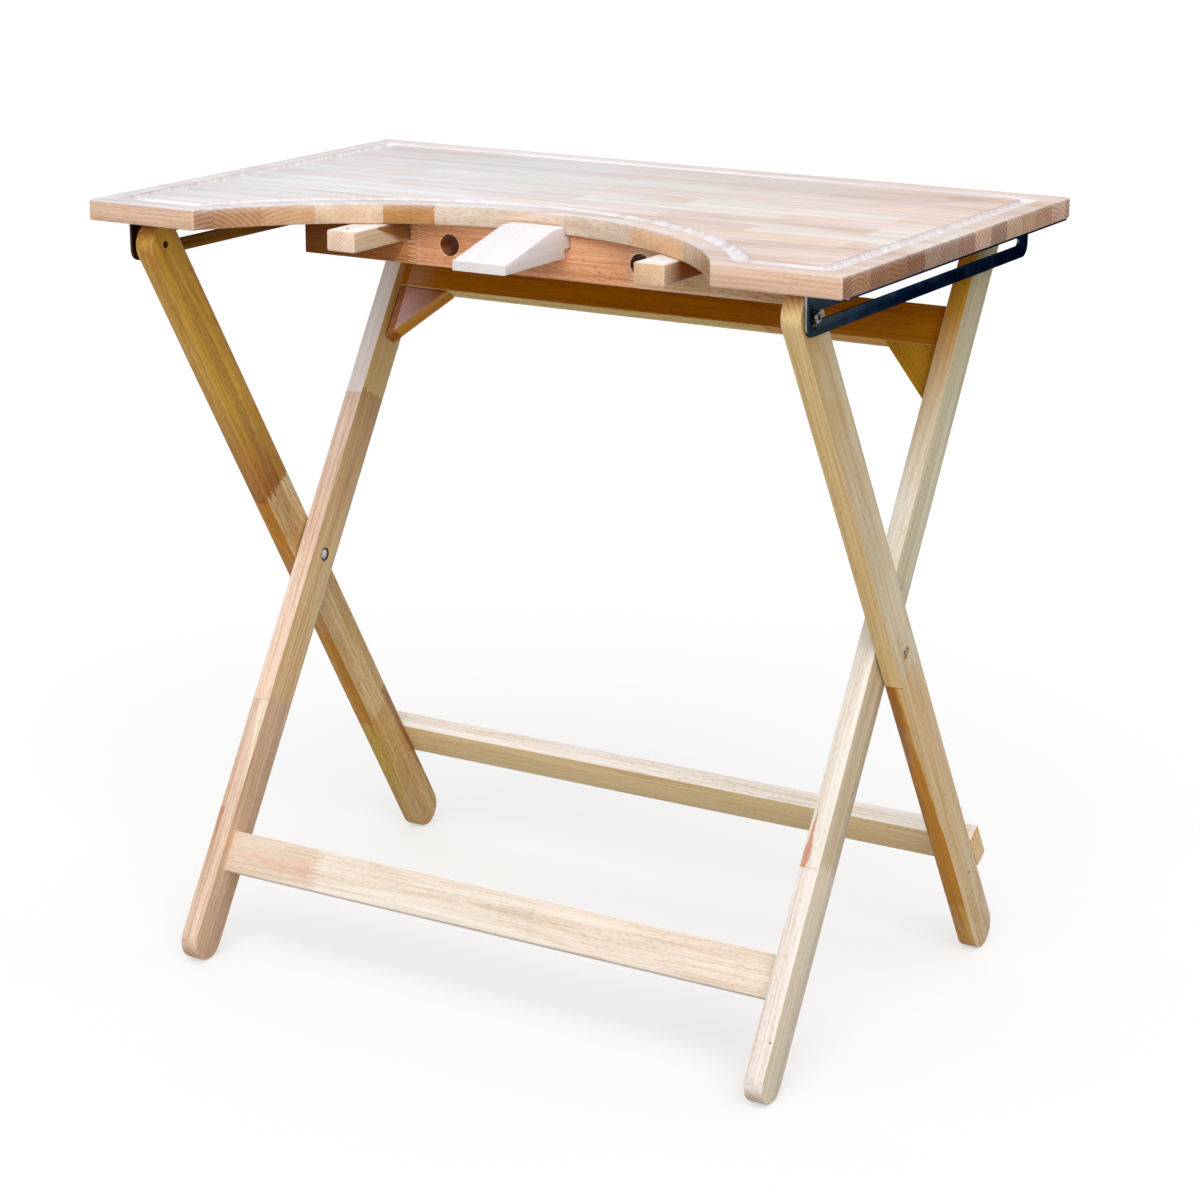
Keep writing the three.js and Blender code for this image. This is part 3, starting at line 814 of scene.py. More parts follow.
        cut_ends = sheet.math("GREATER_THAN", sheet.math("ABSOLUTE", place.along), self.half_width - 0.05)
        ends = sheet.math("MULTIPLY", cut_ends, sheet.span(comb, 0.42, 0.66, 0.08, 0.55))
        ends = sheet.math("MAXIMUM", ends, sheet.math("MULTIPLY", streaky, 0.9))
        # Painted highlight: the groove takes the pale colours on all its faces, with its grain.
        groove = sheet.mix(ends, self.groove_lime_and_sheen, self.groove_grain)
        return sheet.mix(sheet.math("MULTIPLY", self.in_groove(sheet, place), 0.92), limed_with_sheen, groove)


@dataclass(frozen=True)
class CoatedSteel:
    """Blue-black coated sheet steel, with a painted brown reflection of the wood where it faces the legs,
    bare on its sawn ends.
    """

    name: str
    coat: Colour
    front_colour: Colour
    scuff: Colour
    inside: Colour
    bare: Colour
    roughness: float = 0.38
    lustre: Lustre = Lustre(1.0, 0.5, (0.2, 0.23, 0.28, 1.0))

    def make(self) -> bpy.types.Material:
        """Make the material.

        Returns:
            The finished material.
        """
        sheet = NodeSheet(self.name)
        coordinates = sheet.add("ShaderNodeTexCoord")
        cloud = sheet.noise(coordinates.outputs["Object"], 46.0, 5.0, 0.62)
        fine = sheet.noise(coordinates.outputs["Object"], 900.0, 2.0)
        x, y, _ = sheet.split(coordinates.outputs["Object"])
        colour = sheet.mix(sheet.span(y, -0.21, -0.02, 0.0, 1.0), self.front_colour, self.coat)
        colour = sheet.mix(sheet.span(cloud, 0.45, 0.78, 0.0, 0.7), colour, self.scuff)
        normal_x, normal_y, _ = sheet.split(coordinates.outputs["Normal"])
        inward = sheet.math("MULTIPLY", normal_x, sheet.math("SIGN", x))
        # Painted reflection: faces that look toward the legs take a brown like the wood.
        colour = sheet.mix(sheet.span(inward, -0.9, -0.5, 1.0, 0.0), colour, self.inside)
        sawn = sheet.span(sheet.math("ABSOLUTE", normal_y), 0.75, 0.95, 0.0, 1.0)
        colour = sheet.mix(sawn, colour, self.bare)
        roughness = sheet.math("MULTIPLY_ADD", cloud, 0.24, self.roughness - 0.12)
        sheet.surface(colour, roughness, sheet.bump(fine, 0.12, 0.0002), self.lustre)
        return sheet.material


@dataclass(frozen=True)
class PlatedSteel:
    """Zinc-plated steel for bolts, nuts, washers and screws."""

    name: str
    bright: Colour
    dull: Colour
    roughness: float = 0.3
    lustre: Lustre = Lustre(1.0)

    def make(self) -> bpy.types.Material:
        """Make the material.

        Returns:
            The finished material.
        """
        sheet = NodeSheet(self.name)
        coordinates = sheet.add("ShaderNodeTexCoord")
        cloud = sheet.noise(coordinates.outputs["Object"], 260.0, 3.0)
        fine = sheet.noise(coordinates.outputs["Object"], 2400.0, 2.0)
        colour = sheet.mix(sheet.span(cloud, 0.35, 0.65, 0.0, 1.0), self.bright, self.dull)
        roughness = sheet.math("MULTIPLY_ADD", fine, 0.2, self.roughness - 0.08)
        sheet.surface(colour, roughness, sheet.bump(fine, 0.15, 0.0001), self.lustre)
        return sheet.material


SHADED_FIGURE = Figure(lustre=Lustre(level=0.08))
CALM_FIGURE = Figure(bands=0.24, fibres=0.36, pores=0.36)
WAVY_FIGURE = Figure(bands=0.68, fibres=0.68, pores=0.9, waver=0.016)
# Painted shade: a dark ring round each pivot nut, a dimmed recess round each pivot bolt head, and a dark
# hole and ring round each slot bolt.
NUT_SHADE = PaintedDisc(0.0, 0.0, 0.0073)
HEAD_RECESS_SHADE = PaintedDisc(0.0, 0.0, 0.0064, shade=(0.7, 0.56, 0.45, 1.0))
HEAD_BORE_SHADE = PaintedDisc(LEG_HALF_SPAN, 0.0, 0.0036)
HEAD_RING_SHADE = PaintedDisc(LEG_HALF_SPAN, 0.0, 0.0082, 0.354)
# Painted shade inside the apron's two holes, deeper in the right one, and a painted highlight round their
# rims.
LEFT_HOLE_SHADE = (0.62, 0.32, 0.14, 1.0)
RIGHT_HOLE_SHADE = (0.34, 0.18, 0.1, 1.0)
RIM_HIGHLIGHT = (1.15, 1.25, 1.4, 1.0)
SEAM_SHADE = (0.32, 0.22, 0.14, 1.0)
TOP_WOOD = StaveWood(
    name="glued_staves",
    setting=Setting(Grain.ACROSS, lies_flat=True),
    tones=(
        Tone(0.0, paint("e8c6ab")),
        Tone(0.28, paint("f5ca9e")),
        Tone(0.315, paint("d2a77d")),
        Tone(0.48, paint("e8d8c6")),
        Tone(0.62, paint("e0c2a4")),
        Tone(0.86, paint("c6935c")),
    ),
    end_tint=(0.76, 0.72, 0.71, 1.0),
    dark_end_tint=(0.42, 0.3, 0.24, 1.0),
    # Lime and painted sheen on the faces that look up, bluish white on the left and pinkish on the right.
    lime_and_sheen=(paint("e8e9ee"), paint("efe6e6")),
    lime_and_sheen_share=(1.06, 0.92),
    pale_tones=(0.48, 0.62),
    pale_lime_and_sheen=paint("ecf2ec"),
    groove_lime_and_sheen=paint("f2eff1"),
    groove_grain=paint("c2acae"),
)
APRON_WOOD = StickWood(
    name="apron_wood",
    setting=Setting(Grain.ACROSS, side=Grain.UPRIGHT),
    boards=(
        Board(-1.0, paint("9a5f2c"), paint("df9c63")),
        Board(-0.1456, paint("8a5a36"), paint("f5b98d")),
        Board(0.101, paint("8a5a36"), paint("efcca5")),
    ),
    pith=(0.7, 0.1),
    figure=SHADED_FIGURE,
    # Painted shadow: a dark brown streak over the left end of the front face, fading toward the middle.
    streaks=(Streak(-0.272, -0.15, 0.738, 0.3, paint("7d4604"), 1.0, True, fade=0.6),),
    # Each hole: a painted highlight round its rim, then painted shade inside.
    painted_discs=(
        PaintedDisc(-0.098, 0.738, 0.0117, shade=RIM_HIGHLIGHT),
        PaintedDisc(-0.098, 0.738, 0.0105, shade=LEFT_HOLE_SHADE),
        PaintedDisc(0.112, 0.738, 0.0117, shade=RIM_HIGHLIGHT),
        PaintedDisc(0.112, 0.738, 0.0105, shade=RIGHT_HOLE_SHADE),
    ),
    finger_pitch=0.0047,
    finger_length=0.014,
    glue_line=paint("ffe6c6"),
    glue_strength=0.8,
    end_tint=(0.5, 0.42, 0.36, 1.0),
    patchy_sheen=0.05,
)
PIN_WOOD = StickWood(
    name="raw_pin_wood",
    setting=Setting(Grain.FORWARD),
    boards=(Board(-1.0, paint("e7dedd"), paint("eeebed")),),
    pith=(0.05, 0.62),
    figure=Figure(
        rings=0.05, end_rings=0.12, bands=0.08, fibres=0.1, pores=0.08, through_scale=0.2, roughness=0.6
    ),
    end_tint=(0.95, 0.92, 0.9, 1.0),
    patchy_sheen=0.0,
)
LEFT_ARM_WOOD = StickWood(
    name="left_arm_wood",
    setting=Setting(Grain.FORWARD),
    boards=(Board(-1.0, paint("d8be9e"), paint("f7f7f7")),),
    pith=(-0.046, 0.625),
    figure=Figure(ring_spacing=0.003, rings=0.2, end_rings=0.27, bands=0.3, fibres=0.4, pores=0.5),
    # Painted shadow of the top: a dark brown streak on the sides, widest at the apron and tapering toward
    # the front.
    streaks=(Streak(-0.083, -0.14, 0.757, 0.03, paint("8a5412"), 0.92, False, 0.008),),
    end_tint=(0.97, 0.74, 0.58, 1.0),
)
RIGHT_ARM_WOOD = StickWood(
    name="right_arm_wood",
    setting=Setting(Grain.FORWARD),
    # Painted shade: the dark brown side colour; the pale streak lightens the sides toward the front end.
    boards=(Board(-1.0, paint("8a4a02"), paint("f7f7f7")),),
    pith=(0.24, 0.7),
    figure=Figure(ring_spacing=0.0036, end_rings=0.16, bands=0.3, fibres=0.4, pores=0.5),
    streaks=(Streak(-0.179, -0.146, 0.75, 0.3, paint("e0c4a6"), 0.9, fade=1.0),),
    end_tint=(0.86, 0.6, 0.38, 1.0),
)
KEEPER_WOOD = StickWood(
    name="keeper_wood",
    setting=Setting(Grain.ACROSS),
    boards=(Board(-1.0, paint("dfc091"), paint("e0c094")),),
    pith=(0.7, 0.0),
)
UPPER_RAIL_WOOD = StickWood(
    name="upper_rail_wood",
    setting=Setting(Grain.ACROSS, -LEG_LEAN, Grain.UPRIGHT),
    # Painted shade: the dark, saturated front colours stand for the shade under the top.
    boards=(
        Board(-1.0, paint("f7de89"), paint("b36f02")),
        Board(0.12, paint("f0b85c"), paint("b2720d")),
    ),
    pith=(0.25, 0.05),
    figure=SHADED_FIGURE,
    # Painted reflection: a mauve streak near the left end; the strip left of it stays dark as the leg's
    # painted shadow.
    streaks=(Streak(-0.306, -0.27, 0.323, 0.3, paint("c89a80"), 0.6, True, fade=1.0),),
    patchy_sheen=0.0,
    edge_highlight=0.1,
)
FRONT_STRETCHER_WOOD = StickWood(
    name="front_stretcher_wood",
    setting=Setting(Grain.ACROSS, -LEG_LEAN, Grain.UPRIGHT),
    boards=(
        Board(-1.0, paint("f6e4d8"), paint("e3cfba")),
        Board(-0.212, paint("f6ebdc"), paint("ece1d2")),
        Board(0.046, paint("f8e8dc"), paint("eee0d0")),
    ),
    pith=(-0.3, 0.06),
    streaks=(
        Streak(-0.214, -0.31, -0.329, 0.012, paint("e0a48c"), 0.28, True),
        Streak(0.05, -0.03, -0.322, 0.008, paint("d8c8b4"), 0.4, True),
    ),
    figure=CALM_FIGURE,
)
REAR_STRETCHER_WOOD = StickWood(
    name="rear_stretcher_wood",
    setting=Setting(Grain.ACROSS, LEG_LEAN, Grain.UPRIGHT),
    boards=(Board(-1.0, paint("f7f2ea"), paint("f1d7a3")),),
    pith=(-0.29, -0.02),
    figure=CALM_FIGURE,
)
LEFT_GUSSET_WOOD = StickWood(
    name="left_gusset_wood",
    setting=Setting(Grain.ACROSS, -LEG_LEAN, Grain.FORWARD, slant=0.8),
    # Painted shade: the golden-brown front shows toward the top right, where the shade falls.
    boards=(Board(-1.0, paint("a05c08"), paint("e1a02e")),),
    pith=(0.6, 0.06),
    figure=SHADED_FIGURE,
    # Painted reflection: a pink streak, strongest low in the middle, fading toward the top right.
    streaks=(Streak(-0.05, 0.034, 0.0, 0.3, paint("f7d2d4"), 1.3, fade=1.0),),
    # Wide discs paint the leg's shadow along the left edge, and painted shade in the seams at the leg and at
    # the rail.
    painted_discs=(
        PaintedDisc(-0.3654, 0.7673, 0.5, shade=(0.62, 0.44, 0.2, 1.0)),
        PaintedDisc(-0.3706, 0.7727, 0.5, shade=SEAM_SHADE),
        PaintedDisc(0.3757, 0.7622, 0.5, shade=SEAM_SHADE),
    ),
    patchy_sheen=0.1,
    edge_highlight=0.0,
)
RIGHT_GUSSET_WOOD = StickWood(
    name="right_gusset_wood",
    setting=Setting(Grain.ACROSS, -LEG_LEAN, slant=-0.8),
    boards=(Board(-1.0, paint("c88a34"), paint("bf8f25")),),
    pith=(0.6, -0.06),
    figure=SHADED_FIGURE,
    patchy_sheen=0.0,
    edge_highlight=0.0,
)
LEFT_INNER_LEG_WOOD = StickWood(
    name="left_inner_leg_wood",
    setting=Setting(Grain.UPRIGHT, -LEG_LEAN),
    boards=(
        Board(-1.0, paint("dfbfa1"), paint("e3c9b4")),
        Board(-0.167, paint("e7c896"), paint("f6decb")),
        Board(0.174, paint("d3b36f"), paint("f7ede6"), 0.72),
    ),
    pith=(0.05, -0.36),
    figure=Figure(bands=0.36, fibres=0.58, pores=0.5),
    streaks=(
        Streak(-0.167, -0.274, -0.314, 0.0125, paint("f8efdc"), 0.9, True, 0.003),
        Streak(-0.284, -0.332, -0.331, 0.004, paint("c88468"), 0.6, True, 0.006),
        # Painted shade: a golden-brown streak on the sides at the top of the leg, fading downward, below the
        # tabletop.
        Streak(0.45, 0.2, 0.0, 0.3, paint("a8741c"), 1.25, fade=1.0),
        Streak(0.181, 0.0, 0.0, 0.3, paint("b27c3e"), 0.6, ragged=0.016, fade=1.0),
    ),
    glue_strength=0.15,
    painted_discs=(NUT_SHADE,),
)
RIGHT_INNER_LEG_WOOD = StickWood(
    name="right_inner_leg_wood",
    setting=Setting(Grain.UPRIGHT, -LEG_LEAN),
    boards=(
        Board(-1.0, paint("e6dbc3"), paint("f0e8e1")),
        Board(-0.221, paint("d3c2a3"), paint("ece5d9")),
        Board(0.06, paint("d6ceaf"), paint("f7f1e0")),
    ),
    pith=(0.06, 0.28),
    streaks=(
        Streak(-0.221, -0.163, 0.3195, 0.0048, paint("cd9070"), 0.85, True),
        # Painted shade: golden streaks on the front and sides at the top of the leg, fading downward, below
        # the tabletop.
        Streak(0.45, 0.14, 0.324, 0.5, paint("c8962e"), 1.55, True, fade=1.0),
        Streak(0.45, 0.2, 0.0, 0.3, paint("a09359"), 0.83, fade=1.0),
    ),
    painted_discs=(NUT_SHADE,),
    figure=CALM_FIGURE,
)
LEFT_OUTER_LEG_WOOD = StickWood(
    name="left_outer_leg_wood",
    setting=Setting(Grain.UPRIGHT, LEG_LEAN),
    boards=(
        Board(-1.0, paint("d9b673"), paint("dbb750")),
        Board(-0.253, paint("e6cc96"), paint("d19520")),
        Board(0.095, paint("daac43"), paint("d6a84f")),
    ),
    pith=(0.05, -0.4),
    figure=WAVY_FIGURE,
    streaks=(
        Streak(0.096, 0.22, 0.0, 0.3, paint("a8690a"), 0.8, False, 0.03, 0.03, 1.0),
        Streak(-0.23, -0.46, 0.022, 0.014, paint("a86a34"), 0.7, waver=0.006),
        Streak(0.09, 0.25, -0.3455, 0.3, paint("a8640a"), 0.8, True, 0.03, 0.02, 1.0),
    ),
    edge_highlight=0.2,
    painted_discs=(HEAD_RECESS_SHADE, HEAD_BORE_SHADE, HEAD_RING_SHADE),
)
RIGHT_OUTER_LEG_WOOD = StickWood(
    name="right_outer_leg_wood",
    setting=Setting(Grain.UPRIGHT, LEG_LEAN),
    boards=(
        Board(-1.0, paint("dbbe8d"), paint("d8a648"), -0.7),
        Board(-0.359, paint("dbbe8d"), paint("cc8a12"), -0.1),
        Board(-0.028, paint("d6c49f"), paint("edcf93")),
    ),
    pith=(-0.05, 0.3),
    figure=CALM_FIGURE,
    streaks=(
        # Painted shade: a golden streak on the sides at the top of the leg, fading downward, below the
        # tabletop.
        Streak(0.45, 0.2, 0.0, 0.3, paint("c09737"), 0.98, fade=1.0),
        Streak(-0.029, -0.279, 0.3555, 0.011, paint("ecca92"), 0.85, True, 0.006),
        Streak(-0.029, -0.359, 0.3365, 0.01, paint("8f560a"), 0.55, True),
    ),
    patchy_sheen=0.34,
    painted_discs=(HEAD_RECESS_SHADE, HEAD_BORE_SHADE, HEAD_RING_SHADE),
)
BLACK_STEEL = CoatedSteel(
    name="blue_black_steel",
    coat=paint("1b2b3d"),
    front_colour=paint("363f44"),
    scuff=paint("3f4c5c"),
    inside=paint("6b4a22"),
    bare=paint("98a1a8"),
)
LEFT_BLACK_STEEL = replace(
    BLACK_STEEL,
    name="left_blue_black_steel",
    # Painted reflection and shade: the brown front colour stands for the wood reflected in the steel, and
    # the dark sawn ends for shade.
    front_colour=paint("4a3120"),
    bare=paint("4a4038"),
    lustre=Lustre(1.0, 0.5, (0.06, 0.05, 0.05, 1.0)),
)
ZINC_STEEL = PlatedSteel("zinc_plate", paint("dcdee0"), paint("84888c"))
# Darker plated steel for the slot bolts.
DARK_PLATED_STEEL = PlatedSteel("dark_plated_steel", paint("828486"), paint("3c3f42"))
PIT_WOOD = StickWood(
    name="nail_pit",
    setting=Setting(Grain.UPRIGHT),
    boards=(Board(-1.0, paint("5a3c22"), paint("5a3c22")),),
    pith=(0.0, 0.0),
    figure=SHADED_FIGURE,
    patchy_sheen=0.0,
    edge_highlight=0.0,
)


class Easing:
    """Modifiers that round the sharp edges of a solid and shade its curves smoothly."""

    def __init__(self) -> None:
        """Make the two node groups that every piece shares."""
        self.clean = self.group("clean_faces", self.clean_nodes)
        self.shade = self.group("smooth_curves", self.shade_nodes)

    def group(self, name: str, fill: Callable[[bpy.types.NodeTree, Socket], Socket]) -> bpy.types.NodeTree:
        """Make a geometry node group with one way in and one way out.

        Args:
            name: The group's name.
            fill: The method that adds the nodes between the two ends.

        Returns:
            The node group.
        """
        tree = bpy.data.node_groups.new(name, "GeometryNodeTree")
        tree.interface.new_socket("Geometry", in_out="INPUT", socket_type="NodeSocketGeometry")
        tree.interface.new_socket("Geometry", in_out="OUTPUT", socket_type="NodeSocketGeometry")
        start = tree.nodes.new("NodeGroupInput")
        end = tree.nodes.new("NodeGroupOutput")
        tree.links.new(fill(tree, start.outputs[0]), end.inputs[0])
        return tree

    def clean_nodes(self, tree: bpy.types.NodeTree, shape: Socket) -> Socket:
        """Join the split corners of the faces and drop their stored normals."""
        drop = tree.nodes.new("GeometryNodeRemoveAttribute")
        drop.inputs["Name"].default_value = "custom_normal"
        tree.links.new(shape, drop.inputs["Geometry"])
        weld = tree.nodes.new("GeometryNodeMergeByDistance")
        weld.inputs["Distance"].default_value = 0.00001
        tree.links.new(drop.outputs[0], weld.inputs["Geometry"])
        return weld.outputs[0]

    def shade_nodes(self, tree: bpy.types.NodeTree, shape: Socket) -> Socket:
        """Shade faces smoothly and keep the edges over thirty-four degrees sharp."""
        faces = tree.nodes.new("GeometryNodeSetShadeSmooth")
        tree.links.new(shape, faces.inputs["Geometry"])
        angle = tree.nodes.new("GeometryNodeInputMeshEdgeAngle")
        sharp = tree.nodes.new("FunctionNodeCompare")
        sharp.operation = "GREATER_THAN"
        sharp.inputs[1].default_value = math.radians(34)
        tree.links.new(angle.outputs[0], sharp.inputs[0])
        edges = tree.nodes.new("GeometryNodeSetShadeSmooth")
        edges.domain = "EDGE"
        edges.inputs["Shade Smooth"].default_value = False
        tree.links.new(faces.outputs[0], edges.inputs["Geometry"])
        tree.links.new(sharp.outputs[0], edges.inputs["Selection"])
        return edges.outputs[0]

    def ease(self, piece: bpy.types.Object, width: float, angle: float = 40.0) -> None:
        """Round a piece's edges.

        Args:
            piece: The piece to dress.
            width: The width of the rounding in metres, or 0 for none.
            angle: The least angle, in degrees, of an edge that is rounded.
        """
        piece.modifiers.new("clean_faces", "NODES").node_group = self.clean
        if width:
            rounding = piece.modifiers.new("rounding", "BEVEL")
            rounding.width = width
            rounding.segments = 2
            rounding.limit_method = "ANGLE"
            rounding.angle_limit = math.radians(angle)
        piece.modifiers.new("smooth_curves", "NODES").node_group = self.shade


class SharedFinishes:
    """The finishes that more than one sub-assembly has, each made once."""

    def __init__(self) -> None:
        """Make the plated steel of the fasteners and the filler of the nail holes."""
        self.zinc = ZINC_STEEL.make()
        self.pit = PIT_WOOD.make()


class SubAssembly:
    """What the sub-assemblies share: dressing a solid of the frame, and adding a small piece."""

    easing: Easing
    shared: SharedFinishes

    def dress(self, node: str, material: bpy.types.Material, width: float, angle: float = 40.0) -> None:
        """Give a solid its finish and eased edges.

        Args:
            node: The solid's name.
            material: The finish.
            width: The width of the edge rounding in metres.
            angle: The least angle, in degrees, of an edge that is rounded.
        """
        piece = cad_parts[node]
        piece.data.materials.clear()
        piece.data.materials.append(material)
        self.easing.ease(piece, width, angle)
        log.info("dressed %s", node)

    def add(
        self, name: str, mesh: bmesh.types.BMesh, material: bpy.types.Material, body: Body, slot: str
    ) -> None:
        """Add a piece that rides on a body.

        Args:
            name: The piece's name.
            mesh: Its shape in the bench's frame, which is freed here.
            material: Its finish.
            body: The body that carries it.
            slot: The record's finish that it takes; not used.
        """
        data = bpy.data.meshes.new(name)
        mesh.to_mesh(data)
        mesh.free()
        data.materials.append(material)
        for polygon in data.polygons:
            polygon.use_smooth = True
        piece = bpy.data.objects.new(name, data)
        bpy.context.scene.collection.objects.link(piece)
        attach(piece, body.value)
        log.info("added %s", name)


@dataclass(frozen=True)
class ScrewHead:
    """A pan-head wood screw seen from its head, with a cross recess."""

    diameter: float = 0.0075
    height: float = 0.0024
    recess_width: float = 0.0011
    recess_length: float = 0.0042
    recess_depth: float = 0.0013
    sides: int = 24
    rings: int = 9

    def stamp(self, mesh: bmesh.types.BMesh, seat: Vector, outward: Vector) -> None:
        """Add the head to a mesh, seated on a face.

        Args:
            mesh: The mesh that gets the head.
            seat: The middle of the head's seat.
            outward: The direction that the head faces.
        """
        turn = outward.to_track_quat("Z", "X").to_matrix().to_4x4()
        turn.translation = seat
        radius = self.diameter / 2
        angles = [2 * math.pi * side / self.sides for side in range(self.sides)]
        crown = mesh.verts.new(turn @ Vector((0, 0, self.height - self.recess_depth)))
        inner: list[bmesh.types.BMVert] = []
        for ring in range(1, self.rings + 1):
            share = ring / self.rings
            outer = [mesh.verts.new(turn @ self.point(share * radius, angle, share)) for angle in angles]
            for side in range(self.sides):
                following = (side + 1) % self.sides
                if inner:
                    mesh.faces.new((inner[side], outer[side], outer[following], inner[following]))
                else:
                    mesh.faces.new((crown, outer[side], outer[following]))
            inner = outer
        rim = [Vector((radius * math.cos(angle), radius * math.sin(angle), 0.0)) for angle in angles]
        foot = [mesh.verts.new(turn @ point) for point in rim]
        for side in range(self.sides):
            following = (side + 1) % self.sides
            mesh.faces.new((inner[side], foot[side], foot[following], inner[following]))
        mesh.faces.new(reversed(foot))

    def point(self, radius: float, angle: float, share: float) -> Vector:
        """Find a point of the crown, lower where the cross is cut.

        Args:
            radius: How far it is from the middle.
            angle: Its angle round the middle.
            share: The radius as a share of the head's.

        Returns:
            The point above the seat.
        """
        x, y = radius * math.cos(angle), radius * math.sin(angle)
        crown = 0.35 * self.height + 0.65 * self.height * math.sqrt(max(0.0, 1 - share**2.6))
        narrow, wide = sorted((abs(x), abs(y)))
        cut = narrow < self.recess_width / 2 and wide < self.recess_length / 2
        return Vector((x, y, crown - self.recess_depth if cut else crown))


@dataclass(frozen=True)
class NailPit:
    """A filled nail hole: a low ring of filler round a dished middle."""

    diameter: float = 0.0034
    lip: float = 0.00025
    sides: int = 16

    def stamp(self, mesh: bmesh.types.BMesh, seat: Vector, outward: Vector) -> None:
        """Add the filler to a mesh, on a wooden face.

        Args:
            mesh: The mesh that gets the filler.
            seat: The middle of the hole on the wood's face.
            outward: The direction that the face looks.
        """
        turn = outward.to_track_quat("Z", "X").to_matrix().to_4x4()
        turn.translation = seat
        lip = self.lip
        profile = ((1.0, -lip), (1.0, 0.1 * lip), (0.9, lip), (0.7, 0.9 * lip), (0.4, 0.2 * lip))
        angles = [2 * math.pi * side / self.sides for side in range(self.sides)]
        rings: list[list[bmesh.types.BMVert]] = []
        for share, height in profile:
            radius = share * self.diameter / 2
            points = [Vector((radius * math.cos(a), radius * math.sin(a), height)) for a in angles]
            rings.append([mesh.verts.new(turn @ point) for point in points])
        for outer, inner in zip(rings, rings[1:]):
            for side in range(self.sides):
                following = (side + 1) % self.sides
                mesh.faces.new((outer[side], outer[following], inner[following], inner[side]))
        mesh.faces.new(rings[-1])
        mesh.faces.new(reversed(rings[0]))


def leaning(lean: float, x: float, y: float, along: float) -> Vector:
    """Turn a place on an upright leg frame into the bench's frame.

    Args:
        lean: The frame's lean about the crossing point.
        x: Sideways.
        y: Across the leg, to its back.
        along: Up the leg from the crossing point.

    Returns:
        The place in the bench's frame.
    """
    return Vector((x, 0.0, CROSSING_HEIGHT)) + leaning_way(lean, y, along)


def leaning_way(lean: float, y: float, along: float) -> Vector:
    """Turn a direction on an upright leg frame into the bench's frame."""
    cosine, sine = math.cos(lean), math.sin(lean)
    return Vector((0.0, cosine * y - sine * along, sine * y + cosine * along))


@dataclass
class WorkTop(SubAssembly):
    """The plank top with its apron, arm keepers and steel angles."""

    easing: Easing
    shared: SharedFinishes
    flange_screws: int = 5
    hinge_screws: int = 2
    underside: float = 0.76
    sheet_thickness: float = 0.002

    def build(self) -> None:
        """Dress the solids of the top and add the screws of its steel angles."""
        self.dress("tabletop", TOP_WOOD.make(), 0.0013, 50.0)
        self.dress("apron_rail", APRON_WOOD.make(), 0.0008)
        keeper = KEEPER_WOOD.make()
        steels = {Side.LEFT: LEFT_BLACK_STEEL.make(), Side.RIGHT: BLACK_STEEL.make()}
        for side in Side:
            self.dress(f"{side.word}_arm_keeper", keeper, 0.0008)
            self.dress(f"{side.word}_slot_bracket", steels[side], 0.0003)
            self.dress(f"{side.word}_hinge_bracket", steels[side], 0.0003)
            self.add_screws(f"{side.word}_slot_bracket", self.flange_screws)
            self.add_screws(f"{side.word}_hinge_bracket", self.hinge_screws)

    def add_screws(self, bracket: str, count: int) -> None:
        """Put a row of screws through a bracket's flange.

        Args:
            bracket: The bracket's name.
            count: How many screws.
        """
        low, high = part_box(bracket)
        mesh = bmesh.new()
        middle = (low.x + high.x) / 2
        seat_height = self.underside - self.sheet_thickness
        for number in range(count):
            y = low.y + (high.y - low.y) * (number + 0.5) / count
            ScrewHead().stamp(mesh, Vector((middle, y, seat_height)), Vector((0, 0, -1)))
        self.add(f"{bracket}_screws", mesh, self.shared.zinc, Body.TOP, "zinc_steel")


@dataclass
class HandPieces(SubAssembly):
    """The bench pin and the two arm rests."""

    easing: Easing
    shared: SharedFinishes
    pit_share: float = 0.45
    pit_setback: float = 0.0135
    pit_width: float = 0.003

    def build(self) -> None:
        """Dress the pin and the arm rests, and fill the nail hole of the left one."""
        self.dress("bench_pin", PIN_WOOD.make(), 0.0)
        self.dress("left_arm_rest", LEFT_ARM_WOOD.make(), 0.0)
        self.dress("right_arm_rest", RIGHT_ARM_WOOD.make(), 0.0)
        mesh = bmesh.new()
        low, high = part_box("left_arm_rest")
        x = low.x + self.pit_share * (high.x - low.x)
        seat = Vector((x, low.y + self.pit_setback, high.z))
        NailPit(self.pit_width).stamp(mesh, seat, Vector((0, 0, 1)))
        self.add("left_arm_rest_pit", mesh, self.shared.pit, Body.LEFT_ARM, "pale_wood")


